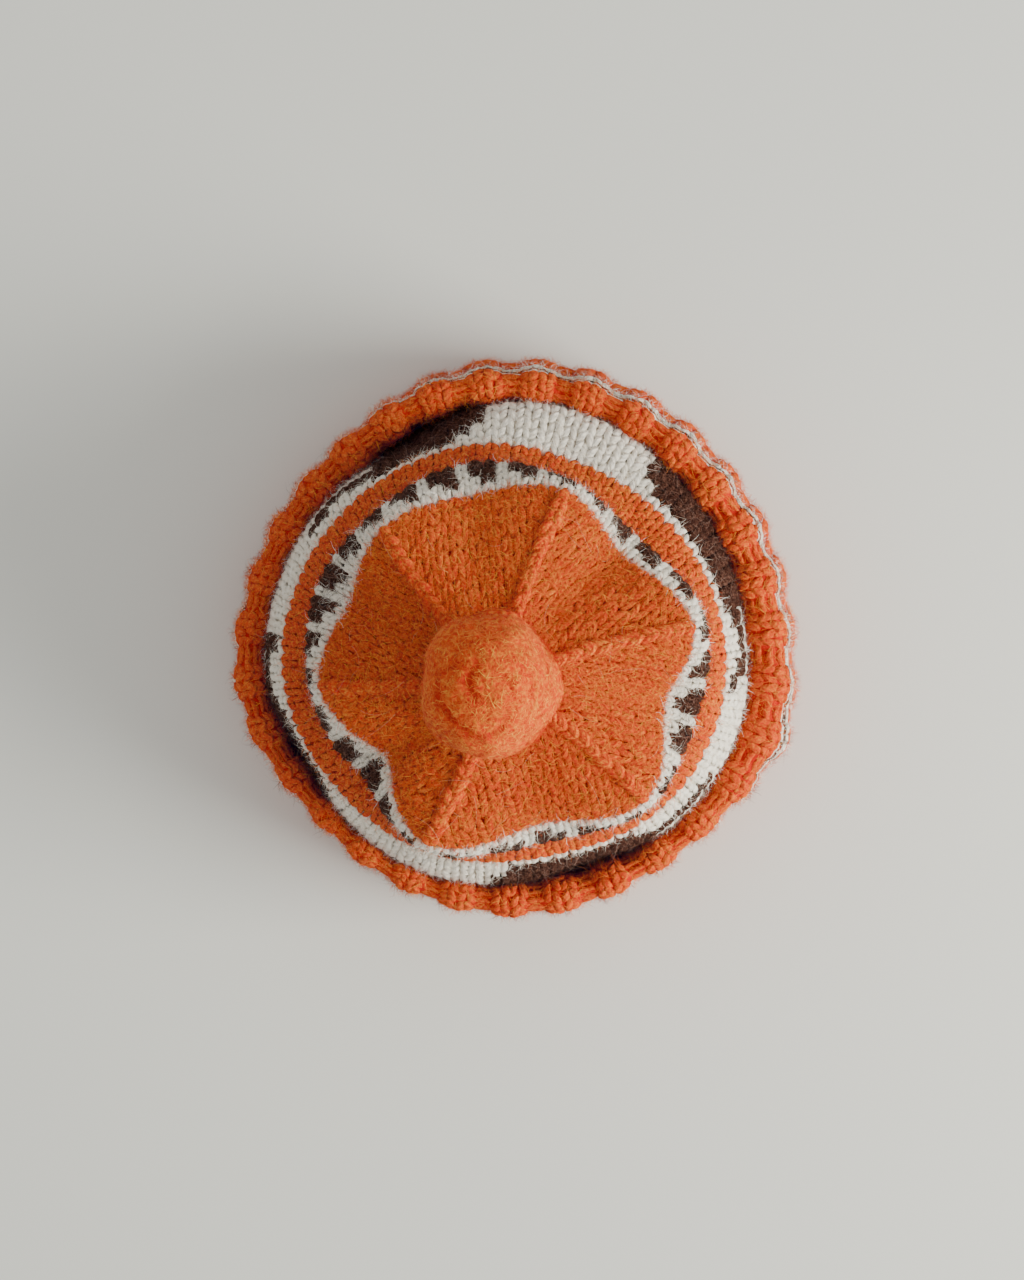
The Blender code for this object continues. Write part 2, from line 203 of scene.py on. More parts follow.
# Tones of the wool
BACKING_SHADE = 1.70             # power that deepens a yarn's colour between its stitches, as painted shade in the gaps
BLUE_REACH = (0.5, 1.0, 1.0)   # share of such a power that blue takes, in rust, cream and brown
NAP_BLUE_REACH = 0.6       # the same in the toorie's nap
GLOW = 0.009               # strength of a painted glow, a faint light that the rust wool itself gives off to keep its shade from yellowing
GLOW_COLOUR = (0.15, 0.10, 1.0)
FIBRE_GLOW = 0.4 * GLOW    # the same painted glow from loose fibres and from the fabric under the stitches
CREASE_SHADE = 2.0          # how much deeper the felt's colour is painted at the bottom of a crease, as shade
FINE_GRAIN = 1300.0        # fineness of the wool's grain
FELT_GRAIN = 650.0
BACKING_RELIEF = 0.0004    # height of the grain on the fabric under the stitches
FIBRE_RELIEF = 0.0001      # and on fibres

# Wools: each one's yarn by number, the powers for its deep and pale tones, and its surface
Wool = namedtuple("Wool", "name yarn deep pale grain sheen relief")
RUST_WOOL = Wool("rust_wool", 0, 1.55, 0.55, 4.5, 0.06, 0.00055)
CREAM_WOOL = Wool("cream_wool", 1, 1.50, 0.60, 2.6, 0.10, 0.00055)
BROWN_WOOL = Wool("brown_wool", 2, 1.40, 0.66, 5.5, 0.03, 0.00055)
CUFF_RUST_WOOL = Wool("cuff_rust_wool", 0, 1.40, 0.66, 4.5, 0.06, 0.00045)
FELT = Wool("toorie_felt", 0, 1.40, 0.66, 7.0, 0.10, 0.0008)
WOOLS = (RUST_WOOL, CREAM_WOOL, BROWN_WOOL)

# How fibres lie: their width beside the common one, their rise, faces along each and their curl
Lay = namedtuple("Lay", "width rise bands curl")
LOOSE = Lay(1.0, 0.95, 2, 1.0)
NAP = Lay(1.6, 0.16, 3, 2.2)
STRAY = Lay(0.6, 0.12, 8, 2.2)
NAP_LENGTHS = (0.0016, 0.0042)
NAP_FOOT = -0.55           # lowest place of the nap on a ball of unit radius
BARE_GROOVES = (0.35, 0.7)   # depths of a crease where the nap begins to be worn away and is gone
STRAY_LENGTHS = (0.006, 0.014)
STRAY_COLOUR = (0.80, 0.46, 0.24)
BROWN_REACH = 1.7          # length of the brown yarn's fibres beside the others
SHORTEST_FIBRE = 0.35      # shortest loose fibre as a share of the longest
FIBRE_ROOTS = (0.0002, 0.0008)   # how far loose fibres start above their fabric
STRAY_ROOTS = 0.0012       # the same for the long ones
FIBRE_DROOP = 0.45         # share of its rise that a fibre has lost at its tip
FIBRE_TAPER = 0.7          # and of its width
FIBRE_CLEARANCE = 0.0002   # from the table

# Light, table and camera
WINDOW_PLACE = (0.975, -0.27, 0.48)
WINDOW_AIM = (0.0, 0.0, 0.05)
WINDOW_SIZE = 0.65
WINDOW_SPREAD = math.radians(120.0)   # narrow, so that the light fades before the lamp's own plane
DAYLIGHT = (1.0, 0.985, 0.90)
ROOM_LIGHT = (1.0, 0.985, 0.95)
TABLE_REACH = 6.0          # half width of the table
TABLE_DROP = 0.0002        # how far it lies under the hat's foot
TABLE_CLOUDS = 0.015       # how much the table's colour varies
CAMERA_ASIDE = 0.0006      # camera from the cuff's axis, to the right and to the back

# Motif under the plain ring: rounds of cream, then of brown, then cream again, going down
Motif = namedtuple("Motif", "bearing cream brown")
MOTIFS = (
    Motif(0.0, 8.0, 0.0), Motif(38.0, 8.0, 0.0), Motif(45.0, 1.0, 9.0), Motif(60.0, 1.0, 9.0),
    Motif(80.0, 1.5, 9.0), Motif(84.0, 2.5, 1.0), Motif(95.0, 2.6, 1.2), Motif(101.0, 0.6, 1.5),
    Motif(102.0, 8.0, 0.0), Motif(119.0, 8.0, 0.0), Motif(121.0, 3.0, 1.0), Motif(132.0, 3.5, 1.0),
    Motif(140.0, 2.5, 1.5), Motif(146.0, 1.5, 6.0), Motif(160.0, 1.0, 9.0), Motif(172.0, 1.0, 9.0),
    Motif(179.0, 1.5, 4.0), Motif(181.0, 8.0, 0.0), Motif(226.0, 8.0, 0.0), Motif(229.0, 3.0, 9.0),
    Motif(233.0, 1.0, 9.0), Motif(250.0, 1.0, 9.0), Motif(254.0, 2.0, 6.0), Motif(262.0, 3.0, 1.5),
    Motif(270.0, 3.0, 1.0), Motif(271.5, 0.0, 4.0), Motif(273.0, 8.0, 0.0), Motif(298.0, 8.0, 0.0),
    Motif(301.0, 2.0, 1.0), Motif(315.0, 3.0, 1.2), Motif(325.0, 1.5, 2.0), Motif(330.0, 1.0, 9.0),
    Motif(350.0, 1.0, 9.0), Motif(356.0, 3.0, 9.0), Motif(359.0, 8.0, 0.0), Motif(360.0, 8.0, 0.0),
)
# Pieces of the bands' stitches in rust, cream and brown; the carried brown stands proud
BandYarn = namedtuple("BandYarn", "piece slot size lift")
BAND_YARNS = (
    BandYarn("ring_stitches", "body_wool", 1.0, 0.0),
    BandYarn("cream_stitches", "cream_wool", 0.97, 0.0),
    BandYarn("brown_stitches", "brown_wool", 1.14, 0.0003),
)
# Checked ring, from the plain ring towards the crown; B is brown and W cream
CHECKS = ("BBW", "BBW", "WBW", "WWW")
# Stripes of the cuff's outer face, going down from the rim's outer edge
STRIPES = "WBW"

# Creases of the toorie seen from above: an arc each, with radii as shares of its half width
Crease = namedtuple("Crease", "start end near far width depth")
CREASES = (
    Crease(285.0, 182.0, 0.70, 0.66, 0.050, 1.00),
    Crease(338.0, 190.0, 0.30, 0.14, 0.080, 0.80),
    Crease(318.0, 380.0, 0.62, 0.72, 0.050, 0.35),
    Crease(280.0, 318.0, 0.66, 0.50, 0.060, 0.45),
    Crease(35.0, 112.0, 0.26, 0.42, 0.050, 0.50),
    Crease(60.0, 95.0, 0.56, 0.72, 0.050, 0.35),
    Crease(182.0, 140.0, 0.68, 0.52, 0.050, 0.45),
)


# Settings


class YarnSettings(bpy.types.PropertyGroup):
    """Yarn that the body and the cuff are knitted from."""
    rust: bpy.props.FloatVectorProperty(
        name="Rust", description="Main yarn's colour", subtype="COLOR", size=3,
        min=0.0, max=1.0, default=(0.67, 0.088, 0.009))
    cream: bpy.props.FloatVectorProperty(
        name="Cream", description="Colour of the motif's ground", subtype="COLOR", size=3,
        min=0.0, max=1.0, default=(0.90, 0.84, 0.73))
    brown: bpy.props.FloatVectorProperty(
        name="Brown", description="Colour of the motif and the checks", subtype="COLOR", size=3,
        min=0.0, max=1.0, default=(0.054, 0.0175, 0.0100))
    girth: bpy.props.FloatProperty(
        name="Girth", description="Half thickness of a stitch's leg", subtype="DISTANCE",
        unit="LENGTH", default=0.00095)
    unevenness: bpy.props.FloatProperty(
        name="Unevenness", description="How far stitches stray, as a share of one stitch",
        min=0.0, max=0.3, default=0.085)


class FibreSettings(bpy.types.PropertyGroup):
    """Loose fibres that stand off the wool."""
    count: bpy.props.IntProperty(
        name="Count", description="Fibres on the body and the cuff", min=0, default=90000)
    length: bpy.props.FloatProperty(
        name="Length", description="Longest common fibre", subtype="DISTANCE", unit="LENGTH",
        default=0.0043)
    width: bpy.props.FloatProperty(
        name="Width", description="Width of a fibre", subtype="DISTANCE", unit="LENGTH",
        default=0.00011)
    strays: bpy.props.IntProperty(
        name="Strays", description="Long pale fibres on the crown", min=0, default=70)


class ToorieSettings(bpy.types.PropertyGroup):
    """Felted ball on top of the hat."""
    felt: bpy.props.FloatVectorProperty(
        name="Felt", description="Felt's colour", subtype="COLOR", size=3,
        min=0.0, max=1.0, default=(0.70, 0.098, 0.007))
    crease: bpy.props.FloatProperty(
        name="Crease", description="Depth of the deepest crease", subtype="DISTANCE",
        unit="LENGTH", default=0.0020)
    nap: bpy.props.IntProperty(
        name="Nap", description="Fibres of the felt's nap", min=0, default=15000)


class StageSettings(bpy.types.PropertyGroup):
    """Table, light and camera."""
    floor: bpy.props.FloatVectorProperty(
        name="Table", description="Colour of the table", subtype="COLOR", size=3,
        min=0.0, max=1.0, default=(0.72, 0.733, 0.692))
    key: bpy.props.FloatProperty(
        name="Key Light", description="Power of the large light", subtype="POWER", default=11.6)
    fill: bpy.props.FloatProperty(
        name="Fill Light", description="Strength of the light from all round", default=0.76)
    height: bpy.props.FloatProperty(
        name="Camera Height", description="Camera above the table", subtype="DISTANCE",
        unit="LENGTH", default=1.0)
    lens: bpy.props.FloatProperty(
        name="Lens", description="Focal length", subtype="DISTANCE_CAMERA", unit="CAMERA",
        default=86.65)


# The hat's form


def curve(before, here, after, beyond, share):
    """Smooth curve from here to after that also heeds the points on either side."""
    linear = after - before
    square = 2.0 * before - 5.0 * here + 4.0 * after - beyond
    cube = beyond - before + 3.0 * (here - after)
    return here + 0.5 * share * (linear + share * (square + share * cube))


def around(column, turn):
    """Value of one column of BEARINGS at each turn, on a smooth closed curve."""
    values = np.array([getattr(row, column) for row in BEARINGS])
    place = np.mod(turn, 1.0) * len(values)
    row = np.floor(place).astype(int)
    near = [values[(row + step) % len(values)] for step in (-1, 0, 1, 2)]
    return curve(*near, place - row)


def spot(radius, bearing, height):
    """Point from a radius, a bearing in degrees and a height."""
    angle = np.radians(bearing)
    point = np.broadcast_arrays(radius * np.sin(angle), radius * np.cos(angle), height)
    return np.stack(point, axis=-1)


def smooth_step(low, high, value):
    """0 below low, 1 above high and an even climb between them."""
    share = np.clip((value - low) / (high - low), 0.0, 1.0)
    return share * share * (3.0 - 2.0 * share)


def wall_radius(turn, height):
    """Outer radius of the body inside the cuff, where the foot spreads."""
    share = np.clip(np.asarray(height) / CUFF_HEIGHT, 0.0, 1.0)
    upper = 0.5 + 0.5 * np.cos(math.pi * np.clip((share - BELLY) / (NECK - BELLY), 0.0, 1.0))
    lower = 1.0 - (1.0 - FOOT_SPREAD) * np.clip((BELLY - share) / BELLY, 0.0, 1.0) ** 2
    return BODY_RADIUS * around("waist", turn) + CUFF_FLARE * around("flare", turn) * upper * lower


def wall_height(level):
    """Height of the body's wall at a level between its lower edge and the rim."""
    foot = LIP_HEIGHT + GAP
    return foot + (CUFF_HEIGHT - 0.5 * FOLD_RISE - foot) * level


def band_levels(turn):
    """Radius and height of the rim and of the three bands above it."""
    radius = BODY_RADIUS * around("waist", turn)
    height = np.full_like(radius, wall_height(RIM))
    rings = [(radius, height)]
    bands = (("motif_slope", MOTIF_DEPTH), ("ring_slope", RING_DEPTH), ("check_slope", CHECK_DEPTH))
    for column, depth in bands:
        slope = np.clip(around(column, turn), 0.0, 0.95)
        radius = radius - slope * depth
        height = height + np.sqrt(1.0 - slope ** 2) * depth
        rings.append((radius, height))
    return rings


def crown_centre():
    """Highest point of the crown, from the mean height of its edge."""
    edge = band_levels(np.arange(len(BEARINGS)) / len(BEARINGS))[-1][1]
    return np.array([CROWN_SHIFT_X, CROWN_SHIFT_Y, edge.mean() + CROWN_RISE])


def crown_middle(edge, centre):
    """Points between the crown's edge and its centre, turned by the swirl."""
    curl = math.radians(CROWN_SWIRL * (1.0 - CROWN_MIDDLE_REACH))
    arm = (edge - centre) * CROWN_MIDDLE_REACH
    x = arm[..., 0] * math.cos(curl) - arm[..., 1] * math.sin(curl)
    y = arm[..., 0] * math.sin(curl) + arm[..., 1] * math.cos(curl)
    rise = edge[..., 2] + (centre[2] - edge[..., 2]) * CROWN_MIDDLE_RISE
    return np.stack([centre[0] + x, centre[1] + y, rise], axis=-1)


def key_points(turn):
    """Points of the body's surface on each level from the rim up, with one more below."""
    bearing = FIRST_RIDGE + 360.0 * turn
    lead = around("turn", turn)
    rings = band_levels(turn)
    keys = [spot(rings[0][0], bearing, rings[0][1] - MOTIF_DEPTH)]
    for index, (radius, height) in enumerate(rings):
        keys.append(spot(radius, bearing + lead * index / (len(rings) - 1), height))
    centre = crown_centre()
    keys.append(crown_middle(keys[-1], centre))
    keys.append(np.broadcast_to(centre, keys[-1].shape))
    return keys


def body_surface(turn, level):
    """Outer surface of the body; level runs from FOOT to CROWN_CENTRE."""
    keys = key_points(turn)
    keys.append(key_points(turn + 0.5)[-2])
    stack = np.stack(keys)
    low = np.clip(np.floor(level).astype(int), RIM, CROWN_MIDDLE)
    each = np.arange(len(turn))
    share = np.clip(level - low, 0.0, 1.0)[:, None]
    point = curve(*[stack[low + step, each] for step in (-1, 0, 1, 2)], share)
    height = wall_height(level)
    inside = spot(wall_radius(turn, height), FIRST_RIDGE + 360.0 * turn, height)
    point = np.where((level < RIM)[:, None], inside, point)
    return point + dent_offset(turn, level) + ridge_offset(point, turn, level)


def dent_offset(turn, level):
    """Inward push of every hollow."""
    bearing = FIRST_RIDGE + 360.0 * turn
    push = np.zeros(len(turn))
    for dent in DENTS:
        away = np.mod(bearing - dent.bearing + 180.0, 360.0) - 180.0
        weight = np.exp(-(away / dent.spread) ** 2 - ((level - dent.level) / dent.reach) ** 2)
        push += DENT_DEPTH * dent.depth * weight
    return spot(-push, bearing, 0.0)


def ridge_offset(point, turn, level):
    """Lift of the decrease ridges, one between each two panels of the crown."""
    panel = np.mod(turn * CROWN_PANELS + 0.5, 1.0) - 0.5
    reach = np.hypot(point[:, 0] - CROWN_SHIFT_X, point[:, 1] - CROWN_SHIFT_Y)
    aside = panel / CROWN_PANELS * 2.0 * math.pi * reach
    fade = smooth_step(CROWN_EDGE - 0.2, CROWN_EDGE + 0.2, level)
    fade = fade * (1.0 - smooth_step(CROWN_CENTRE - 0.6, CROWN_CENTRE - 0.2, level))
    lift = RIDGE_HEIGHT * fade * np.exp(-(aside / RIDGE_WIDTH) ** 2)
    return lift[:, None] * (0.0, 0.0, 1.0)


def cuff_surface(turn, offset, height):
    """Place on the cuff of a point of its plain section, offset from the body's face."""
    middle = 0.5 * (GAP + CUFF_THICKNESS)
    half = CUFF_THICKNESS - middle
    fold = CUFF_HEIGHT - FOLD_RISE
    over = height > fold + NEAR
    across = np.where(over, (offset - middle) / half, np.where(offset > middle, 1.0, -INNER_RIB))
    across = np.where(height < LIP_HEIGHT + NEAR, np.maximum(across, 0.0), across)
    along = np.where(over, (height - fold) / FOLD_RISE, 0.0)
    thick = np.where(offset > GAP, GAP + (offset - GAP) * around("thickness", turn), offset)
    ahead = turn + (FIRST_RIDGE - FIRST_FURROW) / 360.0
    furrow = RIB_DEPTH * (0.5 + 0.5 * np.cos(2.0 * math.pi * RIBS * ahead)) ** 1.5
    away = np.mod(FIRST_RIDGE + 360.0 * turn - BULGE_BEARING + 180.0, 360.0) - 180.0
    slack = np.exp(-(away / BULGE_SPREAD) ** 2 - ((height / fold - BULGE_HEIGHT) * 4.0) ** 2)
    thick = thick + np.where(offset > middle, CUFF_BULGE * slack, 0.0)
    radius = wall_radius(turn, height) + thick - furrow * across
    wave = np.sin(4.0 * math.pi * turn + 0.8) + 0.6 * np.sin(6.0 * math.pi * turn)
    lift = RIM_WAVE * wave * smooth_step(LIP_HEIGHT, fold, height)
    return spot(radius, FIRST_RIDGE + 360.0 * turn, height + lift - furrow * along)


def cuff_run(run, tuck):
    """Offset and height on the cuff's section at a length up from its foot, less a tuck."""
    middle = 0.5 * (GAP + CUFF_THICKNESS)
    half = CUFF_THICKNESS - middle
    fold = CUFF_HEIGHT - FOLD_RISE
    arc = math.pi * math.sqrt(0.5 * (half ** 2 + FOLD_RISE ** 2))
    angle = np.clip((run - fold) / arc, 0.0, 1.0) * math.pi
    offset = middle + (half - tuck) * np.cos(angle)
    height = fold + (FOLD_RISE - tuck) * np.sin(angle)
    height = height + np.minimum(run - fold, 0.0) - np.maximum(run - fold - arc, 0.0)
    corner = np.clip(1.0 - height / FOOT_ROUND, 0.0, 1.0) * (run < fold)
    offset = offset - FOOT_ROUND * (1.0 - np.sqrt(1.0 - corner ** 2))
    return offset, np.maximum(height, 0.0)


def hat_shift():
    """How far the hat is moved so that the middle of its cuff's outline is at the origin."""
    steps, rows = 6 * RIBS, 40
    bearing = FIRST_FURROW + 360.0 * np.arange(steps) / steps
    run = np.linspace(FOOT_ROUND, CUFF_HEIGHT, rows)
    bearing, run = [grid.ravel() for grid in np.meshgrid(bearing, run)]
    offset, height = cuff_run(run, 0.0)
    points = cuff_surface((bearing - FIRST_RIDGE) / 360.0, offset, height)[:, :2]
    low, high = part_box("cuff")
    middle = 0.5 * (np.array(low[:2]) + np.array(high[:2]))
    return np.append(middle - 0.5 * (points.min(axis=0) + points.max(axis=0)), 0.0)


SHIFT = hat_shift()


# The knitting's lie


def check_drift(wale):
    """How many wales the checks run ahead of an even spacing, as the fabric is pulled about."""
    sway = CHECK_SWAY * np.sin(2.0 * math.pi * (wale / BODY_WALES - SWAY_START))
    return len(CHECKS[0]) * (sway - CHECKS_BACK)


def band_level(row):
    """Level of the body at a round, counted up from the rim."""
    depths = (-HIDDEN_ROUNDS, HIDDEN_ROUNDS, MOTIF_ROUNDS, RING_ROUNDS, CHECK_ROUNDS, CROWN_ROUNDS)
    rows = np.cumsum(depths)
    level = np.interp(row, rows, (FOOT, RIM, RING_OUTER, RING_INNER, CROWN_EDGE, CROWN_CENTRE))
    share = np.clip(level - RING_INNER, 0.0, 1.0)
    return level + CHECK_CROWDING * np.sin(math.pi * share) * (level < CROWN_EDGE)


def band_fabric(_panel, wale, row):
    """Point of the body's bands at a wale and a round above the rim."""
    turn = (wale + WALE_START + check_drift(wale)) / BODY_WALES
    return body_surface(turn, band_level(row)) + SHIFT


def even_fabric(_panel, wale, row):
    """Point of the body at an evenly spaced wale and a round above the rim."""
    return body_surface(wale / BODY_WALES, band_level(row)) + SHIFT


def crown_share(row):
    """Share of the way from the crown's edge to its centre at a round, never all of it."""
    return np.clip(row / CROWN_ROUNDS, -0.1, 0.97)


def crown_fabric(panel, wale, row):
    """Point of a crown panel at a wale from its middle; its wales run side by side."""
    share = crown_share(row)
    half = 0.5 * PANEL_WALES * (1.0 - share)
    aside = np.clip(wale / half, -1.15, 1.15)
    turn = (panel + 0.5 + 0.5 * aside) / CROWN_PANELS
    return body_surface(turn, CROWN_EDGE + 2.0 * share) + SHIFT


def ridge_fabric(panel, wale, row):
    """Point near the ridge that starts a panel, at a wale from the ridge's middle."""
    share = crown_share(row)
    turn = panel / CROWN_PANELS + wale / (BODY_WALES * (1.0 - share))
    return body_surface(turn, CROWN_EDGE + 2.0 * share) + SHIFT


def cuff_fabric(_panel, wale, row):
    """Point of the cuff at a wale from its first furrow and a round up from its foot."""
    bearing = FIRST_FURROW + 360.0 * wale / CUFF_WALES
    offset, height = cuff_run(row * CUFF_ROUND, 0.0)
    return cuff_surface((bearing - FIRST_RIDGE) / 360.0, offset, height) + SHIFT


def outward(fabric, panel, wale, row):
    """Unit vectors that point out of a fabric."""
    step = 0.05
    across = fabric(panel, wale + step, row) - fabric(panel, wale - step, row)
    along = fabric(panel, wale, row + step) - fabric(panel, wale, row - step)
    normal = np.cross(along, across)
    length = np.linalg.norm(normal, axis=1, keepdims=True)
    return np.where(length > 1e-12, normal / np.maximum(length, 1e-12), (0.0, 0.0, 1.0))


def charted(chart):
    """Numbers of the yarns in a line of a chart, where B is brown and W cream."""
    return [2 if mark == "B" else 1 for mark in chart]


def motif_yarn(wale, row):
    """Yarn of each stitch below the plain ring: 1 for cream and 2 for brown."""
    bearing = np.mod(FIRST_RIDGE + 360.0 * (wale + WALE_START) / BODY_WALES, 360.0)
    below = MOTIF_ROUNDS - row - 0.5
    places = [motif.bearing for motif in MOTIFS]
    cream = np.interp(bearing, places, [motif.cream for motif in MOTIFS])
    brown = np.interp(bearing, places, [motif.brown for motif in MOTIFS])
    return np.where((below > cream) & (below < cream + brown), 2, 1)


def check_yarn(wale, row):
    """Yarn of each stitch of the checked ring."""
    chart = np.array([charted(line) for line in CHECKS])
    line = np.clip(row - MOTIF_ROUNDS - RING_ROUNDS, 0, CHECK_ROUNDS - 1)
    return chart[line.astype(int), np.mod(wale, len(CHECKS[0])).astype(int)]


def band_yarn(wale, row):
    """Yarn of each stitch of the bands: 0 rust, 1 cream, 2 brown."""
    ring = np.where(row < MOTIF_ROUNDS + RING_ROUNDS, 0, check_yarn(wale, row))
    return np.where(row < MOTIF_ROUNDS, motif_yarn(wale, row), ring)


def cuff_yarn(row):
    """Yarn of each round of the cuff, counted up from its foot."""
    first = math.floor((CUFF_HEIGHT - FOLD_RISE) / CUFF_ROUND) - 1
    down = (first - row).astype(int)
    marks = np.array(charted(STRIPES))
    inside = (down >= 0) & (down < len(marks))
    return np.where(inside, marks[np.clip(down, 0, len(marks) - 1)], 0)


# Stitches

Template = namedtuple("Template", "across along out faces corners")
Stitches = namedtuple("Stitches", "panel wale row side yarn")


def strand_template(sides, bands):
    """Straight closed strand of unit radius and length, with a UV for each corner of its faces."""
    bm = bmesh.new()
    bmesh.ops.create_cone(
        bm, cap_ends=True, cap_tris=False, segments=sides, radius1=1.0, radius2=1.0, depth=1.0)
    upright = [edge for edge in bm.edges if abs(edge.verts[0].co.z - edge.verts[1].co.z) > 0.5]
    bmesh.ops.subdivide_edges(bm, edges=upright, cuts=bands - 1, use_grid_fill=True)
    bmesh.ops.recalc_face_normals(bm, faces=bm.faces)
    points = np.array([vertex.co for vertex in bm.verts])
    faces = [[vertex.index for vertex in face.verts] for face in bm.faces]
    bm.free()
    turn = np.mod(np.arctan2(points[:, 1], points[:, 0]) / (2.0 * math.pi), 1.0)
    corners = []
    for face in faces:
        across = turn[face]
        if across.max() - across.min() > 0.5:
            across = across + (across < 0.5)
        corners += list(zip(across, points[face, 2] + 0.5))
    return points, faces, np.array(corners)


def by_quarters(share, values):
    """Values between those of a table that has one for every quarter of a strand's length."""
    return np.interp(share, np.linspace(0.0, 1.0, len(values)), values)


def leg_template(girth, apart=LEG_APART, thick=FULLED):
    """One leg of a knit stitch; across and along are in stitches and out is in metres."""
    points, faces, corners = strand_template(STRAND_SIDES, STRAND_BANDS)
    share = points[:, 2] + 0.5
    swell = by_quarters(share, LEG_SWELL)
    across = apart + LEG_LEAN * np.sin(0.5 * math.pi * share) + LEG_HALF * swell * points[:, 0]
    along = LEG_START + LEG_LENGTH * share + 0.08 * swell * points[:, 0]
    out = by_quarters(share, LEG_LIFT) + thick * swell * points[:, 1]
    return Template(across, along, girth * out, faces, corners)


def bump_template(girth):
    """Bump of a purl stitch, which lies across its wale."""
    points, faces, corners = strand_template(STRAND_SIDES, STRAND_BANDS)
    share = points[:, 2] + 0.5
    swell = by_quarters(share, BUMP_SWELL)
    across = BUMP_LENGTH * (share - 0.5)
    along = BUMP_START + BUMP_BOW * np.sin(math.pi * share) + BUMP_HALF * swell * points[:, 0]
    out = -0.75 + 0.6 * np.sin(math.pi * share) + FULLED * swell * points[:, 1]
    return Template(across, along, girth * out, faces, corners)


def mesh_of(name, points, faces, material):
    """Smooth mesh with one material, from points and faces."""
    mesh = bpy.data.meshes.new(name)
    mesh.from_pydata(points, [], faces)
    mesh.shade_smooth()
    mesh.materials.append(material)
    return mesh


def turn_out(mesh):
    """Turn the faces of every closed part of a mesh outwards."""
    bm = bmesh.new()
    bm.from_mesh(mesh)
    bmesh.ops.recalc_face_normals(bm, faces=bm.faces)
    bm.to_mesh(mesh)
    bm.free()


def add_piece(name, mesh, slot, *nodes):
    """Object of the hat that rides with it, and stands for nodes of the frame."""
    piece = bpy.data.objects.new(name, mesh)
    bpy.context.scene.collection.objects.link(piece)
    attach(piece, "root")
    if nodes:
        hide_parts(*nodes)
    return piece


def knit(name, template, stitches, fabric, material, slot, seed, grow=1.0, lift=0.0, lie=1.0):
    """Join one copy of a template for each stitch, bent to the fabric; lie is -1 to point down."""
    uneven = bpy.context.scene.hat_yarn.unevenness
    rng = np.random.default_rng(seed)
    count = len(stitches.wale)
    stray = rng.normal(0.0, 1.0, (count, 4))
    plump = 1.0 + uneven * stray[:, 2:3]
    wale = stitches.wale[:, None] + uneven * UNEVEN_ACROSS * stray[:, 0:1]
    across = wale + stitches.side[:, None] * grow * plump * template.across
    row = stitches.row[:, None] + 0.5 * (1.0 - lie) + uneven * UNEVEN_ALONG * stray[:, 1:2]
    along = row + lie * template.along
    out = lift + template.out * plump * grow + UNEVEN_OUT * stray[:, 3:4]
    panel = np.repeat(stitches.panel, across.shape[1])
    place = (panel, across.ravel(), along.ravel())
    points = fabric(*place) + outward(fabric, *place) * out.reshape(-1, 1)
    points[:, 2] = np.maximum(points[:, 2], 0.0)
    size = across.shape[1]
    faces = [[index + copy * size for index in face] for copy in range(count) for face in template.faces]
    mesh = mesh_of(name, points, faces, material)
    layer = mesh.uv_layers.new(name="yarn")
    layer.data.foreach_set("uv", np.tile(template.corners, (count, 1)).ravel())
    shade = mesh.attributes.new("shade", "FLOAT", "POINT")
    shade.data.foreach_set("value", np.repeat(rng.normal(0.0, 1.0, count), size))
    turn_out(mesh)
    return add_piece(name, mesh, slot)


def both_legs(panel, wale, row, yarn):
    """Two legs for every stitch, the right one and its mirror."""
    side = np.repeat((1.0, -1.0), len(wale))
    return Stitches(np.tile(panel, 2), np.tile(wale, 2), np.tile(row, 2), side, np.tile(yarn, 2))


def pick(stitches, keep):
    """The stitches that a mask keeps."""
    return Stitches(*[column[keep] for column in stitches])


def every(*ranges):
    """Every combination of the values of some ranges, a column for each range."""
    return [grid.ravel().astype(float) for grid in np.meshgrid(*ranges)]


def band_stitches(first, last):
    """Legs of the body's rounds from first up to last."""
    wale, row = every(np.arange(BODY_WALES), np.arange(first, last))
    return both_legs(np.zeros(len(wale)), wale, row, band_yarn(wale, row))


def crown_stitches():
    """Legs of the crown's panels, as far as the ridges leave room for them."""
    panel, wale, row = every(
        np.arange(CROWN_PANELS), np.arange(1, PANEL_WALES) - 0.5 * PANEL_WALES,
        np.arange(CROWN_ROUNDS - COVERED_ROUNDS))
    room = 0.5 * PANEL_WALES * (1.0 - (row + 0.5) / CROWN_ROUNDS) - RIDGE_ROOM
    keep = np.abs(wale) < room
    return both_legs(panel[keep], wale[keep], row[keep], np.zeros(keep.sum()))


def ridge_stitches():
    """Legs of the decreases, one above another on every ridge."""
    panel, row = every(np.arange(CROWN_PANELS), np.arange(CROWN_ROUNDS - COVERED_ROUNDS))
    return both_legs(panel, np.zeros(len(panel)), row, np.zeros(len(panel)))


def cuff_stitches(purl):
    """Legs of the cuff's knit wales, or the bumps of its purl wales."""
    wale, row = every(np.arange(CUFF_WALES), np.arange(CUFF_ROUNDS))
    keep = (np.mod(wale, 3) == 0) == purl
    wale, row = wale[keep], row[keep]
    if purl:
        still = np.zeros(len(wale))
        return Stitches(still, wale, row, still + 1.0, cuff_yarn(row))
    return both_legs(np.zeros(len(wale)), wale, row, cuff_yarn(row))


# Fibres


def ribbon_template(bands):
    """Flat strip of a number of faces, with the share along and the side of every point."""
    bm = bmesh.new()
    bmesh.ops.create_grid(bm, x_segments=bands, y_segments=1, size=1.0)
    points = np.array([vertex.co for vertex in bm.verts])
    faces = [[vertex.index for vertex in face.verts] for face in bm.faces]
    bm.free()
    return 0.5 + 0.5 * points[:, 0], np.sign(points[:, 1]), faces


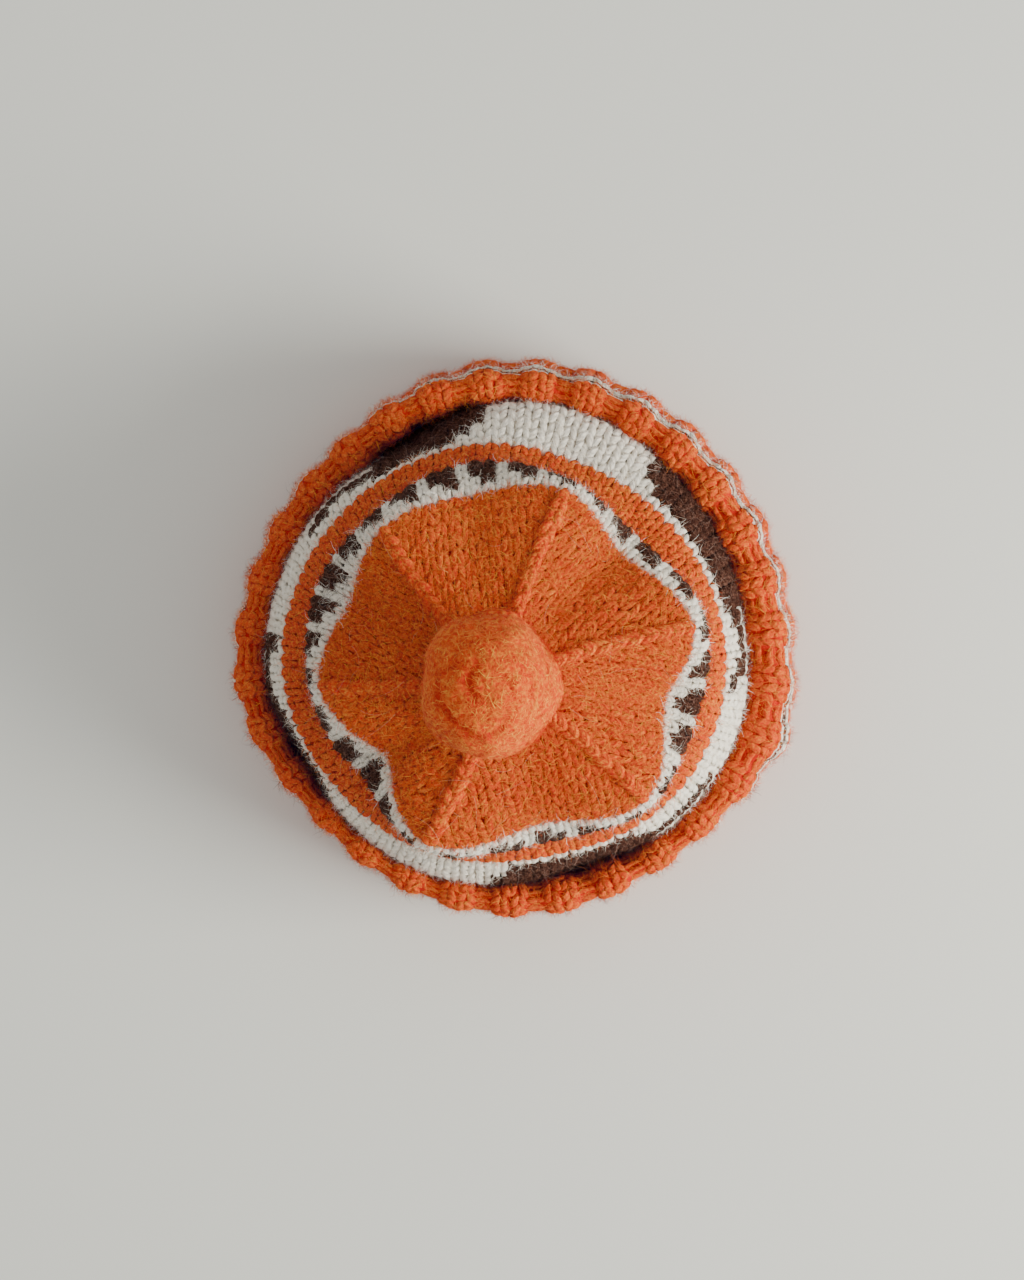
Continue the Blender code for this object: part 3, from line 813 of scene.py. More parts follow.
def fibre_mesh(name, root, normal, lengths, lay, tint, material, seed):
    """Fine curved fibres that leave their roots and lie over the wool."""
    share, side, strip = ribbon_template(lay.bands)
    rng = np.random.default_rng(seed)
    count = len(root)
    aim = rng.normal(0.0, 1.0, (count, 3))
    aim -= normal * np.sum(aim * normal, axis=1, keepdims=True)
    aim /= np.maximum(np.linalg.norm(aim, axis=1, keepdims=True), 1e-9)
    beside = np.cross(normal, aim)
    curl = lay.curl * rng.normal(0.0, 1.0, (count, 1))
    lift = lay.rise * rng.uniform(0.2, 1.0, (count, 1))
    bend = curl * share
    go = lengths[:, None] * share * np.sinc(0.5 * bend / math.pi)
    drift_on = (go * np.cos(0.5 * bend))[..., None] * aim[:, None, :]
    drift_off = (go * np.sin(0.5 * bend))[..., None] * beside[:, None, :]
    rise = lengths[:, None] * lift * share * (1.0 - FIBRE_DROOP * share)
    rise_up = rise[..., None] * normal[:, None, :]
    width = lay.width * bpy.context.scene.hat_fibre.width
    edge = (0.5 * width * (1.0 - FIBRE_TAPER * share) * side)[None, :, None] * beside[:, None, :]
    points = root[:, None, :] + drift_on + drift_off + rise_up + edge
    points = points.reshape(-1, 3)
    points[:, 2] = np.maximum(points[:, 2], FIBRE_CLEARANCE)
    size = len(share)
    faces = [[index + copy * size for index in face] for copy in range(count) for face in strip]
    mesh = mesh_of(name, points, faces, material)
    colour = mesh.attributes.new("tint", "FLOAT_COLOR", "POINT")
    rows = np.concatenate([np.repeat(tint, size, axis=0), np.ones((count * size, 1))], axis=1)
    colour.data.foreach_set("color", rows.ravel())
    return mesh


def toned(colour, power, blue_reach):
    """Colours made deeper by a power over 1 or paler by one under 1; blue takes its own share of it."""
    reach = np.ones((*np.shape(blue_reach), 3))
    reach[..., 2] = blue_reach
    return np.asarray(colour) ** (1.0 + (np.asarray(power) - 1.0)[..., None] * reach)


def yarn_tones(yarn, power):
    """Colours of yarns, by their numbers, made deeper or paler."""
    return toned(yarn_colours()[yarn], power, np.array(BLUE_REACH)[yarn])


def fibre_powers(rng, count):
    """Powers for the colours of single fibres, most of them a little paler than their yarn."""
    return np.clip(rng.normal(0.88, 0.28, count), 0.40, 1.6)


def yarn_colours():
    """Colours of the three yarns, in the order of their numbers."""
    yarn = bpy.context.scene.hat_yarn
    return np.array([yarn.rust, yarn.cream, yarn.brown])


def band_roots(rng, count):
    """Places of fibres on the bands, and each one's yarn."""
    wale = rng.uniform(0.0, BODY_WALES, count)
    row = rng.uniform(-FIBRED_ROUNDS, BAND_ROUNDS, count)
    yarn = band_yarn(np.round(wale), np.floor(row))
    return band_fabric(None, wale, row), outward(band_fabric, None, wale, row), yarn


def crown_roots(rng, count):
    """Places of fibres on the crown."""
    panel = rng.integers(0, CROWN_PANELS, count).astype(float)
    row = CROWN_ROUNDS * (1.0 - np.sqrt(rng.uniform(0.04, 1.0, count)))
    wale = rng.uniform(-0.5, 0.5, count) * PANEL_WALES * (1.0 - crown_share(row))
    yarn = np.zeros(count, dtype=int)
    return crown_fabric(panel, wale, row), outward(crown_fabric, panel, wale, row), yarn


def cuff_roots(rng, count):
    """Places of fibres on the cuff, and each one's yarn."""
    wale = rng.uniform(0.0, CUFF_WALES, count)
    row = rng.uniform(1.0, CUFF_ROUNDS, count)
    yarn = cuff_yarn(np.floor(row))
    return cuff_fabric(None, wale, row), outward(cuff_fabric, None, wale, row), yarn


# Materials


def link(tree, source, target):
    """Join two sockets."""
    tree.links.new(source, target)


def node(tree, kind, **values):
    """New node with its properties set."""
    made = tree.nodes.new(kind)
    for name, value in values.items():
        setattr(made, name, value)
    return made


def maths(tree, operation, first, second):
    """Math node on two sockets or numbers; returns its result."""
    made = node(tree, "ShaderNodeMath", operation=operation)
    for socket, value in zip(made.inputs, (first, second)):
        if isinstance(value, (int, float)):
            socket.default_value = value
        else:
            link(tree, value, socket)
    return made.outputs[0]


def noise(tree, vector, scale, detail, rough):
    """Noise texture on a vector; returns its factor."""
    made = node(tree, "ShaderNodeTexNoise")
    if isinstance(scale, float):
        made.inputs["Scale"].default_value = scale
    else:
        link(tree, scale, made.inputs["Scale"])
    made.inputs["Detail"].default_value = detail
    made.inputs["Roughness"].default_value = rough
    link(tree, vector, made.inputs["Vector"])
    return made.outputs["Fac"]


# Numbers of a Mix node's sockets for colours, as its sockets for other kinds have the same names
MIX_FIRST, MIX_SECOND, MIX_RESULT = 6, 7, 2


def blend(tree, share, first, second):
    """Colour between two colours; returns its result."""
    made = node(tree, "ShaderNodeMix", data_type="RGBA")
    link(tree, share, made.inputs[0])
    link(tree, first, made.inputs[MIX_FIRST])
    link(tree, second, made.inputs[MIX_SECOND])
    return made.outputs[MIX_RESULT]


def group_with(name, inputs, outputs):
    """New shader node group with named sockets; returns its tree, input node and output node."""
    tree = bpy.data.node_groups.new(name, "ShaderNodeTree")
    for label, kind in inputs:
        tree.interface.new_socket(label, in_out="INPUT", socket_type=kind)
    for label, kind in outputs:
        tree.interface.new_socket(label, in_out="OUTPUT", socket_type=kind)
    return tree, node(tree, "NodeGroupInput"), node(tree, "NodeGroupOutput")


COLOUR, NUMBER = "NodeSocketColor", "NodeSocketFloat"


def wool_mottle_group():
    """Uneven dye and fine fibre of wool: a colour and a height from the piece's own place."""
    tree, given, result = group_with(
        "wool_mottle",
        (("Deep", COLOUR), ("Mid", COLOUR), ("Pale", COLOUR), ("Shade", NUMBER), ("Grain", NUMBER),
         ("Fineness", NUMBER)),
        (("Colour", COLOUR), ("Height", NUMBER)))
    place = node(tree, "ShaderNodeTexCoord").outputs["Object"]
    broad = noise(tree, place, 55.0, 2.0, 0.5)
    fine = noise(tree, place, given.outputs["Fineness"], 2.0, 0.6)
    hair = noise(tree, place, 3800.0, 1.0, 0.6)
    dye = maths(tree, "MULTIPLY", maths(tree, "SUBTRACT", broad, 0.5), 0.6)
    grain = maths(tree, "MULTIPLY", maths(tree, "SUBTRACT", fine, 0.5), given.outputs["Grain"])
    total = maths(tree, "ADD", maths(tree, "ADD", dye, grain), given.outputs["Shade"])
    up = node(tree, "ShaderNodeClamp")
    link(tree, total, up.inputs["Value"])
    down = node(tree, "ShaderNodeClamp")
    link(tree, maths(tree, "MULTIPLY", total, -1.0), down.inputs["Value"])
    colour = blend(tree, up.outputs[0], given.outputs["Mid"], given.outputs["Pale"])
    colour = blend(tree, down.outputs[0], colour, given.outputs["Deep"])
    link(tree, colour, result.inputs["Colour"])
    height = maths(tree, "ADD", maths(tree, "MULTIPLY", fine, 0.6), maths(tree, "MULTIPLY", hair, 0.4))
    link(tree, height, result.inputs["Height"])
    return tree


def plied_yarn_group():
    """Twist of a plied yarn along a stitch's leg: a height and a shade from the leg's UV."""
    tree, given, result = group_with(
        "plied_yarn", (("Plies", NUMBER), ("Twist", NUMBER)), (("Height", NUMBER), ("Shade", NUMBER)))
    place = node(tree, "ShaderNodeUVMap", uv_map="yarn")
    parts = node(tree, "ShaderNodeSeparateXYZ")
    link(tree, place.outputs[0], parts.inputs[0])
    lean = maths(tree, "MULTIPLY", parts.outputs[1], given.outputs["Twist"])
    phase = maths(tree, "MULTIPLY", maths(tree, "ADD", parts.outputs[0], lean), given.outputs["Plies"])
    wave = maths(tree, "SINE", maths(tree, "MULTIPLY", phase, 2.0 * math.pi), 0.0)
    stretch = node(tree, "ShaderNodeMapping")
    stretch.inputs["Scale"].default_value = (9.0, 2.2, 1.0)
    link(tree, place.outputs[0], stretch.inputs["Vector"])
    streak = noise(tree, stretch.outputs[0], 1.6, 3.0, 0.6)
    height = maths(tree, "ADD", maths(tree, "MULTIPLY", wave, 0.30), streak)
    link(tree, height, result.inputs["Height"])
    own = node(tree, "ShaderNodeAttribute", attribute_name="shade")
    tone = maths(tree, "MULTIPLY", own.outputs["Fac"], 0.10)
    shade = maths(tree, "ADD", tone, maths(tree, "MULTIPLY", maths(tree, "SUBTRACT", streak, 0.5), 3.0))
    link(tree, shade, result.inputs["Shade"])
    return tree


def place_group(tree, name, build):
    """Put a node group into a material, and build it if this is the first that needs it."""
    made = node(tree, "ShaderNodeGroup")
    made.node_tree = bpy.data.node_groups.get(name) or build()
    return made


def wool_base(name, sheen, sheen_tint, glow):
    """Matt fabric material; returns it, its tree and its shader."""
    material = bpy.data.materials.new(name)
    material.use_nodes = True
    tree = material.node_tree
    shader = tree.nodes["Principled BSDF"]
    shader.inputs["Metallic"].default_value = 0.0
    shader.inputs["Roughness"].default_value = 0.92
    shader.inputs["Specular IOR Level"].default_value = 0.10
    shader.inputs["Sheen Weight"].default_value = sheen
    shader.inputs["Sheen Roughness"].default_value = 0.5
    shader.inputs["Sheen Tint"].default_value = (*sheen_tint, 1.0)
    # Painted glow: a faint blue light that the wool itself gives off
    shader.inputs["Emission Color"].default_value = (*GLOW_COLOUR, 1.0)
    shader.inputs["Emission Strength"].default_value = glow
    material.cycles.emission_sampling = "NONE"
    return material, tree, shader


def set_tones(mottle, colour, wool):
    """Give a mottle its colour, a deeper tone of it and a paler one, and the wool's grain."""
    for label, power in (("Deep", wool.deep), ("Mid", 1.0), ("Pale", wool.pale)):
        mottle.inputs[label].default_value = (*toned(colour, power, BLUE_REACH[wool.yarn]), 1.0)
    mottle.inputs["Grain"].default_value = wool.grain


def brighter(colour):
    """Colour of a wool's sheen."""
    return np.clip(1.3 * np.array(colour), 0.0, 1.0)


def bumped(tree, shader, height, distance):
    """Feed a height through a Bump node."""
    bump = node(tree, "ShaderNodeBump")
    bump.inputs["Strength"].default_value = 1.0
    bump.inputs["Distance"].default_value = distance
    link(tree, height, bump.inputs["Height"])
    link(tree, bump.outputs[0], shader.inputs["Normal"])


def stitch_wool(wool):
    """Material of a wool of the stitches, with its plies and its uneven dye."""
    found = bpy.data.materials.get(wool.name)
    if found:
        return found
    colour = yarn_colours()[wool.yarn]
    glow = GLOW if wool.yarn == 0 else 0.0
    material, tree, shader = wool_base(wool.name, wool.sheen, brighter(colour), glow)
    yarn = place_group(tree, "plied_yarn", plied_yarn_group)
    yarn.inputs["Plies"].default_value = 2.0
    yarn.inputs["Twist"].default_value = 1.2
    mottle = place_group(tree, "wool_mottle", wool_mottle_group)
    mottle.inputs["Fineness"].default_value = FINE_GRAIN
    set_tones(mottle, colour, wool)
    link(tree, yarn.outputs["Shade"], mottle.inputs["Shade"])
    link(tree, mottle.outputs["Colour"], shader.inputs["Base Color"])
    height = maths(tree, "ADD", yarn.outputs["Height"], mottle.outputs["Height"])
    bumped(tree, shader, height, wool.relief)
    return material


def tinted_wool(name, relief, glow=FIBRE_GLOW):
    """Plain wool that takes its colour from the piece's own tint."""
    found = bpy.data.materials.get(name)
    if found:
        return found
    material, tree, shader = wool_base(name, 0.04, (1.0, 1.0, 1.0), glow)
    own = node(tree, "ShaderNodeAttribute", attribute_name="tint")
    mottle = place_group(tree, "wool_mottle", wool_mottle_group)
    mottle.inputs["Grain"].default_value = 2.0
    mottle.inputs["Fineness"].default_value = FINE_GRAIN
    mottle.inputs["Shade"].default_value = 0.0
    for label, factor in (("Deep", 0.75), ("Mid", 1.0), ("Pale", 1.15)):
        scaled = node(tree, "ShaderNodeVectorMath", operation="SCALE")
        scaled.inputs["Scale"].default_value = factor
        link(tree, own.outputs["Color"], scaled.inputs[0])
        link(tree, scaled.outputs[0], mottle.inputs[label])
    link(tree, mottle.outputs["Colour"], shader.inputs["Base Color"])
    bumped(tree, shader, mottle.outputs["Height"], relief)
    return material


def felt_wool(colour):
    """Felt of the toorie, with painted shade that deepens it in its creases."""
    material, tree, shader = wool_base(FELT.name, FELT.sheen, brighter(colour), GLOW)
    own = node(tree, "ShaderNodeAttribute", attribute_name="crease")
    mottle = place_group(tree, "wool_mottle", wool_mottle_group)
    mottle.inputs["Fineness"].default_value = FELT_GRAIN
    set_tones(mottle, colour, FELT)
    link(tree, maths(tree, "MULTIPLY", own.outputs["Fac"], -CREASE_SHADE), mottle.inputs["Shade"])
    link(tree, mottle.outputs["Colour"], shader.inputs["Base Color"])
    bumped(tree, shader, mottle.outputs["Height"], FELT.relief)
    return material


def table_paint(colour):
    """Matt pale table top."""
    material = bpy.data.materials.new("table_paint")
    material.use_nodes = True
    tree = material.node_tree
    shader = tree.nodes["Principled BSDF"]
    shader.inputs["Roughness"].default_value = 0.7
    shader.inputs["Specular IOR Level"].default_value = 0.3
    place = node(tree, "ShaderNodeTexCoord").outputs["Object"]
    cloud = noise(tree, place, 4.0, 2.0, 0.5)
    ramp = node(tree, "ShaderNodeMix", data_type="RGBA")
    link(tree, cloud, ramp.inputs[0])
    for socket, factor in ((MIX_FIRST, 1.0 - TABLE_CLOUDS), (MIX_SECOND, 1.0 + TABLE_CLOUDS)):
        ramp.inputs[socket].default_value = (*[factor * part for part in colour], 1.0)
    link(tree, ramp.outputs[MIX_RESULT], shader.inputs["Base Color"])
    return material


# Pieces


def spun(points, closed, steps):
    """Turn a line of (radius, height) points once round +Z."""
    bm = bmesh.new()
    line = [bm.verts.new((0.0, radius, height)) for radius, height in points]
    pairs = list(zip(line, line[1:]))
    if closed:
        pairs.append((line[-1], line[0]))
    edges = [bm.edges.new(pair) for pair in pairs]
    bmesh.ops.spin(
        bm, geom=line + edges, cent=(0.0, 0.0, 0.0), axis=(0.0, 0.0, 1.0),
        angle=-2.0 * math.pi, steps=steps, use_merge=True, use_duplicate=False)
    bmesh.ops.remove_doubles(bm, verts=bm.verts, dist=NEAR)
    return bm


def bearings_of(bm):
    """Bearing of every vertex of a spun mesh."""
    return np.array([math.degrees(math.atan2(vertex.co.x, vertex.co.y)) for vertex in bm.verts])


def closed_mesh(name, bm, material):
    """Smooth mesh from a bmesh, with its doubles merged and its faces turned outwards."""
    bmesh.ops.remove_doubles(bm, verts=bm.verts, dist=NEAR)
    bmesh.ops.recalc_face_normals(bm, faces=bm.faces)
    mesh = bpy.data.meshes.new(name)
    bm.to_mesh(mesh)
    bm.free()
    mesh.shade_smooth()
    mesh.materials.append(material)
    return mesh


def shell_mesh(name, bm, points, tint, material):
    """Mesh of a shell whose vertices are moved to their points and tinted."""
    layer = bm.verts.layers.float_color.new("tint")
    for vertex, point, colour in zip(bm.verts, points, tint):
        vertex.co = point
        vertex[layer] = (*colour, 1.0)
    return closed_mesh(name, bm, material)


class HAT_OT_body_fabric(bpy.types.Operator):
    """Plain fabric of the body, under its stitches and inside the hat"""
    bl_idname = "hat.body_fabric"
    bl_label = "Body Fabric"

    def execute(self, context):
        top = BAND_ROUNDS + CROWN_ROUNDS
        rows = np.linspace(-HIDDEN_ROUNDS, top, BODY_FABRIC_ROWS)
        line = [(min(1.0, (top - row) / CROWN_ROUNDS), row) for row in rows]
        bm = spun(line, False, BODY_FABRIC_STEPS)
        row = np.array([vertex.co.z for vertex in bm.verts])
        turn = np.mod(bearings_of(bm) - FIRST_RIDGE, 360.0) / 360.0
        wale = turn * BODY_WALES
        # The surface has no direction at the crown's very centre, so it is taken a little outside
        normal = outward(even_fabric, None, wale, np.minimum(row, top - 0.3))
        points = even_fabric(None, wale, row) - TUCK * normal
        yarn = np.where(row < BAND_ROUNDS, band_yarn(np.round(wale), np.floor(row)), 0)
        # Painted shade: the fabric between the stitches takes a deeper tone of its yarn
        tint = yarn_tones(yarn, np.full(len(yarn), BACKING_SHADE))
        mesh = shell_mesh("body_fabric", bm, points, tint, tinted_wool("backing_wool", BACKING_RELIEF))
        piece = add_piece("body_fabric", mesh, "body_wool", "body")
        wall = piece.modifiers.new("wall", "SOLIDIFY")
        wall.thickness = WALL - TUCK
        wall.offset = -1.0
        wall.use_even_offset = True
        return {"FINISHED"}


class HAT_OT_body_stitches(bpy.types.Operator):
    """Stitches of the motif, the plain ring and the checked ring, a piece for each yarn"""
    bl_idname = "hat.body_stitches"
    bl_label = "Body Stitches"

    def execute(self, context):
        leg = leg_template(context.scene.hat_yarn.girth)
        legs = band_stitches(-STITCHED_ROUNDS, BAND_ROUNDS)
        for number, (band, wool) in enumerate(zip(BAND_YARNS, WOOLS)):
            chosen = pick(legs, legs.yarn == number)
            knit(band.piece, leg, chosen, band_fabric, stitch_wool(wool), band.slot, seed=11 + number,
                 grow=band.size, lift=band.lift)
        return {"FINISHED"}


class HAT_OT_crown_stitches(bpy.types.Operator):
    """Stitches of the crown's panels and of the ridges between them"""
    bl_idname = "hat.crown_stitches"
    bl_label = "Crown Stitches"

    def execute(self, context):
        leg = leg_template(context.scene.hat_yarn.girth)
        rust = stitch_wool(RUST_WOOL)
        knit("crown_stitches", leg, crown_stitches(), crown_fabric, rust, "body_wool", seed=21)
        chain = leg_template(context.scene.hat_yarn.girth, apart=RIDGE_APART)
        knit("ridge_stitches", chain, ridge_stitches(), ridge_fabric, rust, "body_wool", seed=22,
             grow=RIDGE_SIZE, lift=RIDGE_LIFT)
        return {"FINISHED"}


class HAT_OT_cuff_fabric(bpy.types.Operator):
    """Plain doubled fabric of the cuff, under its ribs"""
    bl_idname = "hat.cuff_fabric"
    bl_label = "Cuff Fabric"

    def execute(self, context):
        fold = CUFF_HEIGHT - FOLD_RISE
        offset, height = cuff_run(np.linspace(0.0, fold + FOLD_RUN, CUFF_FABRIC_ROWS), CUFF_TUCK)
        section = [(-WALL, LIP_HEIGHT), (-WALL, 0.0)]
        section += list(zip(offset, height))
        section += [(GAP, level) for level in np.linspace(fold, LIP_HEIGHT, CUFF_INNER_ROWS)[1:]]
        bm = spun([(BODY_RADIUS + out, up) for out, up in section], True, CUFF_FABRIC_STEPS)
        offset = np.array([math.hypot(v.co.x, v.co.y) - BODY_RADIUS for v in bm.verts])
        height = np.array([v.co.z for v in bm.verts])
        turn = np.mod(bearings_of(bm) + FIRST_FURROW - FIRST_RIDGE, 360.0) / 360.0
        points = cuff_surface(turn, offset, height) + SHIFT
        outer = np.where(offset > 0.5 * CUFF_THICKNESS, height, CUFF_HEIGHT)
        yarn = cuff_yarn(np.floor(outer / CUFF_ROUND))
        # Painted shade: the fabric between the stitches takes a deeper tone of its yarn
        tint = yarn_tones(yarn, np.full(len(yarn), BACKING_SHADE))
        mesh = shell_mesh("cuff_fabric", bm, points, tint, tinted_wool("backing_wool", BACKING_RELIEF))
        add_piece("cuff_fabric", mesh, "cuff_wool", "cuff")
        return {"FINISHED"}


class HAT_OT_cuff_stitches(bpy.types.Operator):
    """Knit and purl stitches of the ribbed cuff, with its stripes"""
    bl_idname = "hat.cuff_stitches"
    bl_label = "Cuff Stitches"

    def execute(self, context):
        girth = context.scene.hat_yarn.girth
        leg, bump = leg_template(girth, thick=CUFF_FULLED), bump_template(girth)
        legs, bumps = cuff_stitches(False), cuff_stitches(True)
        rust = stitch_wool(CUFF_RUST_WOOL)
        knit("rib_stitches", leg, pick(legs, legs.yarn == 0), cuff_fabric, rust, "cuff_wool",
             seed=31, lie=-1.0)
        knit("furrow_stitches", bump, pick(bumps, bumps.yarn == 0), cuff_fabric, rust, "cuff_wool",
             seed=32, lift=BUMP_LIFT)
        for name, wool in (("cream_stripes", CREAM_WOOL), ("brown_stripe", BROWN_WOOL)):
            number, material = wool.yarn, stitch_wool(wool)
            knit(name, leg, pick(legs, legs.yarn == number), cuff_fabric, material, wool.name,
                 seed=33 + number, lie=-1.0)
            knit(name + "_furrows", bump, pick(bumps, bumps.yarn == number), cuff_fabric, material,
                 wool.name, seed=43 + number)
        return {"FINISHED"}


def toorie_surface(ball):
    """Place of points of a unit ball on the toorie, with its lean, its creases and their depth."""
    low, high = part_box("toorie")
    settings = bpy.context.scene.hat_toorie
    x, y, z = ball.T
    angle = np.arctan2(y, x)
    swell = np.cos(5.0 * angle + 3.0 * z) + 0.7 * np.cos(3.0 * angle - 4.0 * z + 1.0)
    swell = 1.0 + TOORIE_SWELL / TOORIE_WIDTH * 2.0 * swell * (1.0 - z * z)
    share = np.maximum(0.0, (z + TOORIE_SINK) / (1.0 + TOORIE_SINK))
    lean = np.sin(0.5 * math.pi * share)
    groove = toorie_creases(x, y, z)
    ruffle = RUFFLE * toorie_ruffle(ball) - LOCK_RUFFLE * toorie_ruffle(LOCKS * ball)
    sink = (settings.crease * groove - ruffle) * smooth_step(0.0, 0.25, share)
    point = np.stack([
        CROWN_SHIFT_X + SHIFT[0] + TOORIE_LEAN_X * lean + (0.5 * TOORIE_WIDTH * swell - sink) * x,
        CROWN_SHIFT_Y + SHIFT[1] + TOORIE_LEAN_Y * lean + (0.5 * TOORIE_LENGTH * swell - sink) * y,
        low[2] + (high[2] - low[2]) * share - sink * np.maximum(z, 0.0),
    ], axis=1)
    return point, groove


def toorie_ruffle(ball):
    """Small swells of the felt, between -1 and 1."""
    x, y, z = (ball * 5.0).T
    first = np.sin(1.7 * x + 2.3 * np.sin(1.1 * y + z) + 0.4)
    return first * np.cos(1.9 * y - 1.3 * z + 1.8 * np.sin(1.4 * x))


def toorie_creases(x, y, z):
    """Depth of the creases at points of the ball, 1 at the bottom of the deepest."""
    reach, bearing = np.hypot(x, y), np.degrees(np.arctan2(x, y))
    depth = np.zeros(len(x))
    for crease in CREASES:
        span = crease.end - crease.start
        along = np.mod((bearing - crease.start) * np.sign(span), 360.0) / abs(span)
        along = np.where(along > 0.5 + 180.0 / abs(span), along - 360.0 / abs(span), along)
        held = np.clip(along, 0.0, 1.0)
        middle = crease.near + (crease.far - crease.near) * held
        beyond = np.abs(along - held) * np.radians(abs(span)) * middle
        away = np.hypot(reach - middle, beyond) / crease.width
        fade = 0.35 + 0.65 * np.sin(math.pi * np.clip(held, 0.05, 0.95))
        depth = np.maximum(depth, crease.depth * fade * np.exp(-away ** 2))
    return depth * smooth_step(-0.1, 0.25, z)


class HAT_OT_toorie(bpy.types.Operator):
    """Felted ball with its creases and its nap"""
    bl_idname = "hat.toorie"
    bl_label = "Toorie"

    def execute(self, context):
        settings = context.scene.hat_toorie
        bm = bmesh.new()
        bmesh.ops.create_uvsphere(bm, u_segments=TOORIE_SEGMENTS, v_segments=TOORIE_RINGS, radius=1.0)
        ball = np.array([vertex.co for vertex in bm.verts])
        points, groove = toorie_surface(ball)
        layer = bm.verts.layers.float.new("crease")
        # Painted shade: the felt's colour is deepened in its creases and in the hollows of its finer
        # locks
        tone = groove + 0.25 * toorie_ruffle(LOCKS * ball)
        for vertex, point, depth in zip(bm.verts, points, tone):
            vertex.co = point
            vertex[layer] = depth
        mesh = closed_mesh("toorie_felt", bm, felt_wool(settings.felt))
        add_piece("toorie_felt", mesh, "toorie_felt", "toorie")
        self.add_nap(settings)
        return {"FINISHED"}

    def add_nap(self, settings):
        """Short fibres all over the felt."""
        rng = np.random.default_rng(51)
        ball = rng.normal(0.0, 1.0, (settings.nap, 3))
        ball /= np.linalg.norm(ball, axis=1, keepdims=True)
        ball = ball[ball[:, 2] > NAP_FOOT]
        root, groove = toorie_surface(ball)
        bare = groove > rng.uniform(*BARE_GROOVES, len(ball))
        ball, root, groove = ball[~bare], root[~bare], groove[~bare]
        normal = ball * (1.0, 1.0, 1.1)
        normal /= np.linalg.norm(normal, axis=1, keepdims=True)
        # Painted shade: nap fibres are coloured deeper in the creases and in the hollows of the locks
        power = fibre_powers(rng, len(ball)) + 0.5 * groove + 0.14 * toorie_ruffle(LOCKS * ball)
        tint = toned(settings.felt, power, NAP_BLUE_REACH)
        lengths = rng.uniform(*NAP_LENGTHS, len(ball))
        wool = tinted_wool("nap_wool", FIBRE_RELIEF, GLOW)
        mesh = fibre_mesh("toorie_nap", root, normal, lengths, NAP, tint, wool, seed=52)
        add_piece("toorie_nap", mesh, "toorie_felt")


class HAT_OT_fibres(bpy.types.Operator):
    """Loose fibres on the bands, the crown and the cuff"""
    bl_idname = "hat.fibres"
    bl_label = "Fibres"

    def execute(self, context):
        fibre = context.scene.hat_fibre
        rng = np.random.default_rng(61)
        # Each piece's name, where its fibres start, its share of them and its slot
        places = (
            ("band_fibres", band_roots, 0.29, "body_wool"),
            ("crown_fibres", crown_roots, 0.28, "body_wool"),
            ("cuff_fibres", cuff_roots, 0.43, "cuff_wool"),
        )
        for index, (name, roots, share, slot) in enumerate(places):
            root, normal, yarn = roots(rng, int(fibre.count * share))
            root = root + rng.uniform(*FIBRE_ROOTS, (len(root), 1)) * normal
            tint = yarn_tones(yarn, fibre_powers(rng, len(root)))
            lengths = rng.uniform(SHORTEST_FIBRE, 1.0, len(root)) * fibre.length
            lengths = lengths * np.where(yarn == BROWN_WOOL.yarn, BROWN_REACH, 1.0)
            wool = tinted_wool("fibre_wool", FIBRE_RELIEF)
            mesh = fibre_mesh(name, root, normal, lengths, LOOSE, tint, wool, seed=62 + index)
            add_piece(name, mesh, slot)
        self.add_strays(fibre, rng)
        return {"FINISHED"}

    def add_strays(self, fibre, rng):
        """A few long pale fibres that lie over the crown."""
        root, normal, _yarn = crown_roots(rng, fibre.strays)
        root = root + STRAY_ROOTS * normal
        tint = np.clip(STRAY_COLOUR * rng.uniform(0.7, 1.1, (len(root), 1)), 0.0, 1.0)
        lengths = rng.uniform(*STRAY_LENGTHS, len(root))
        wool = tinted_wool("fibre_wool", FIBRE_RELIEF)
        mesh = fibre_mesh("stray_fibres", root, normal, lengths, STRAY, tint, wool, seed=71)
        add_piece("stray_fibres", mesh, "body_wool")


# Stage


def window_light(power):
    """Large soft light that faces the hat from the right."""
    lamp = bpy.data.lights.new("window", "AREA")
    lamp.shape = "SQUARE"
    lamp.size = WINDOW_SIZE
    lamp.spread = WINDOW_SPREAD
    lamp.energy = power
    lamp.color = DAYLIGHT
    window = bpy.data.objects.new("window", lamp)
    bpy.context.scene.collection.objects.link(window)
    away = np.array(WINDOW_PLACE) - np.array(WINDOW_AIM)
    level = math.hypot(away[0], away[1])
    window.location = WINDOW_PLACE
    window.rotation_euler = (math.atan2(level, away[2]), 0.0, math.atan2(away[0], -away[1]))


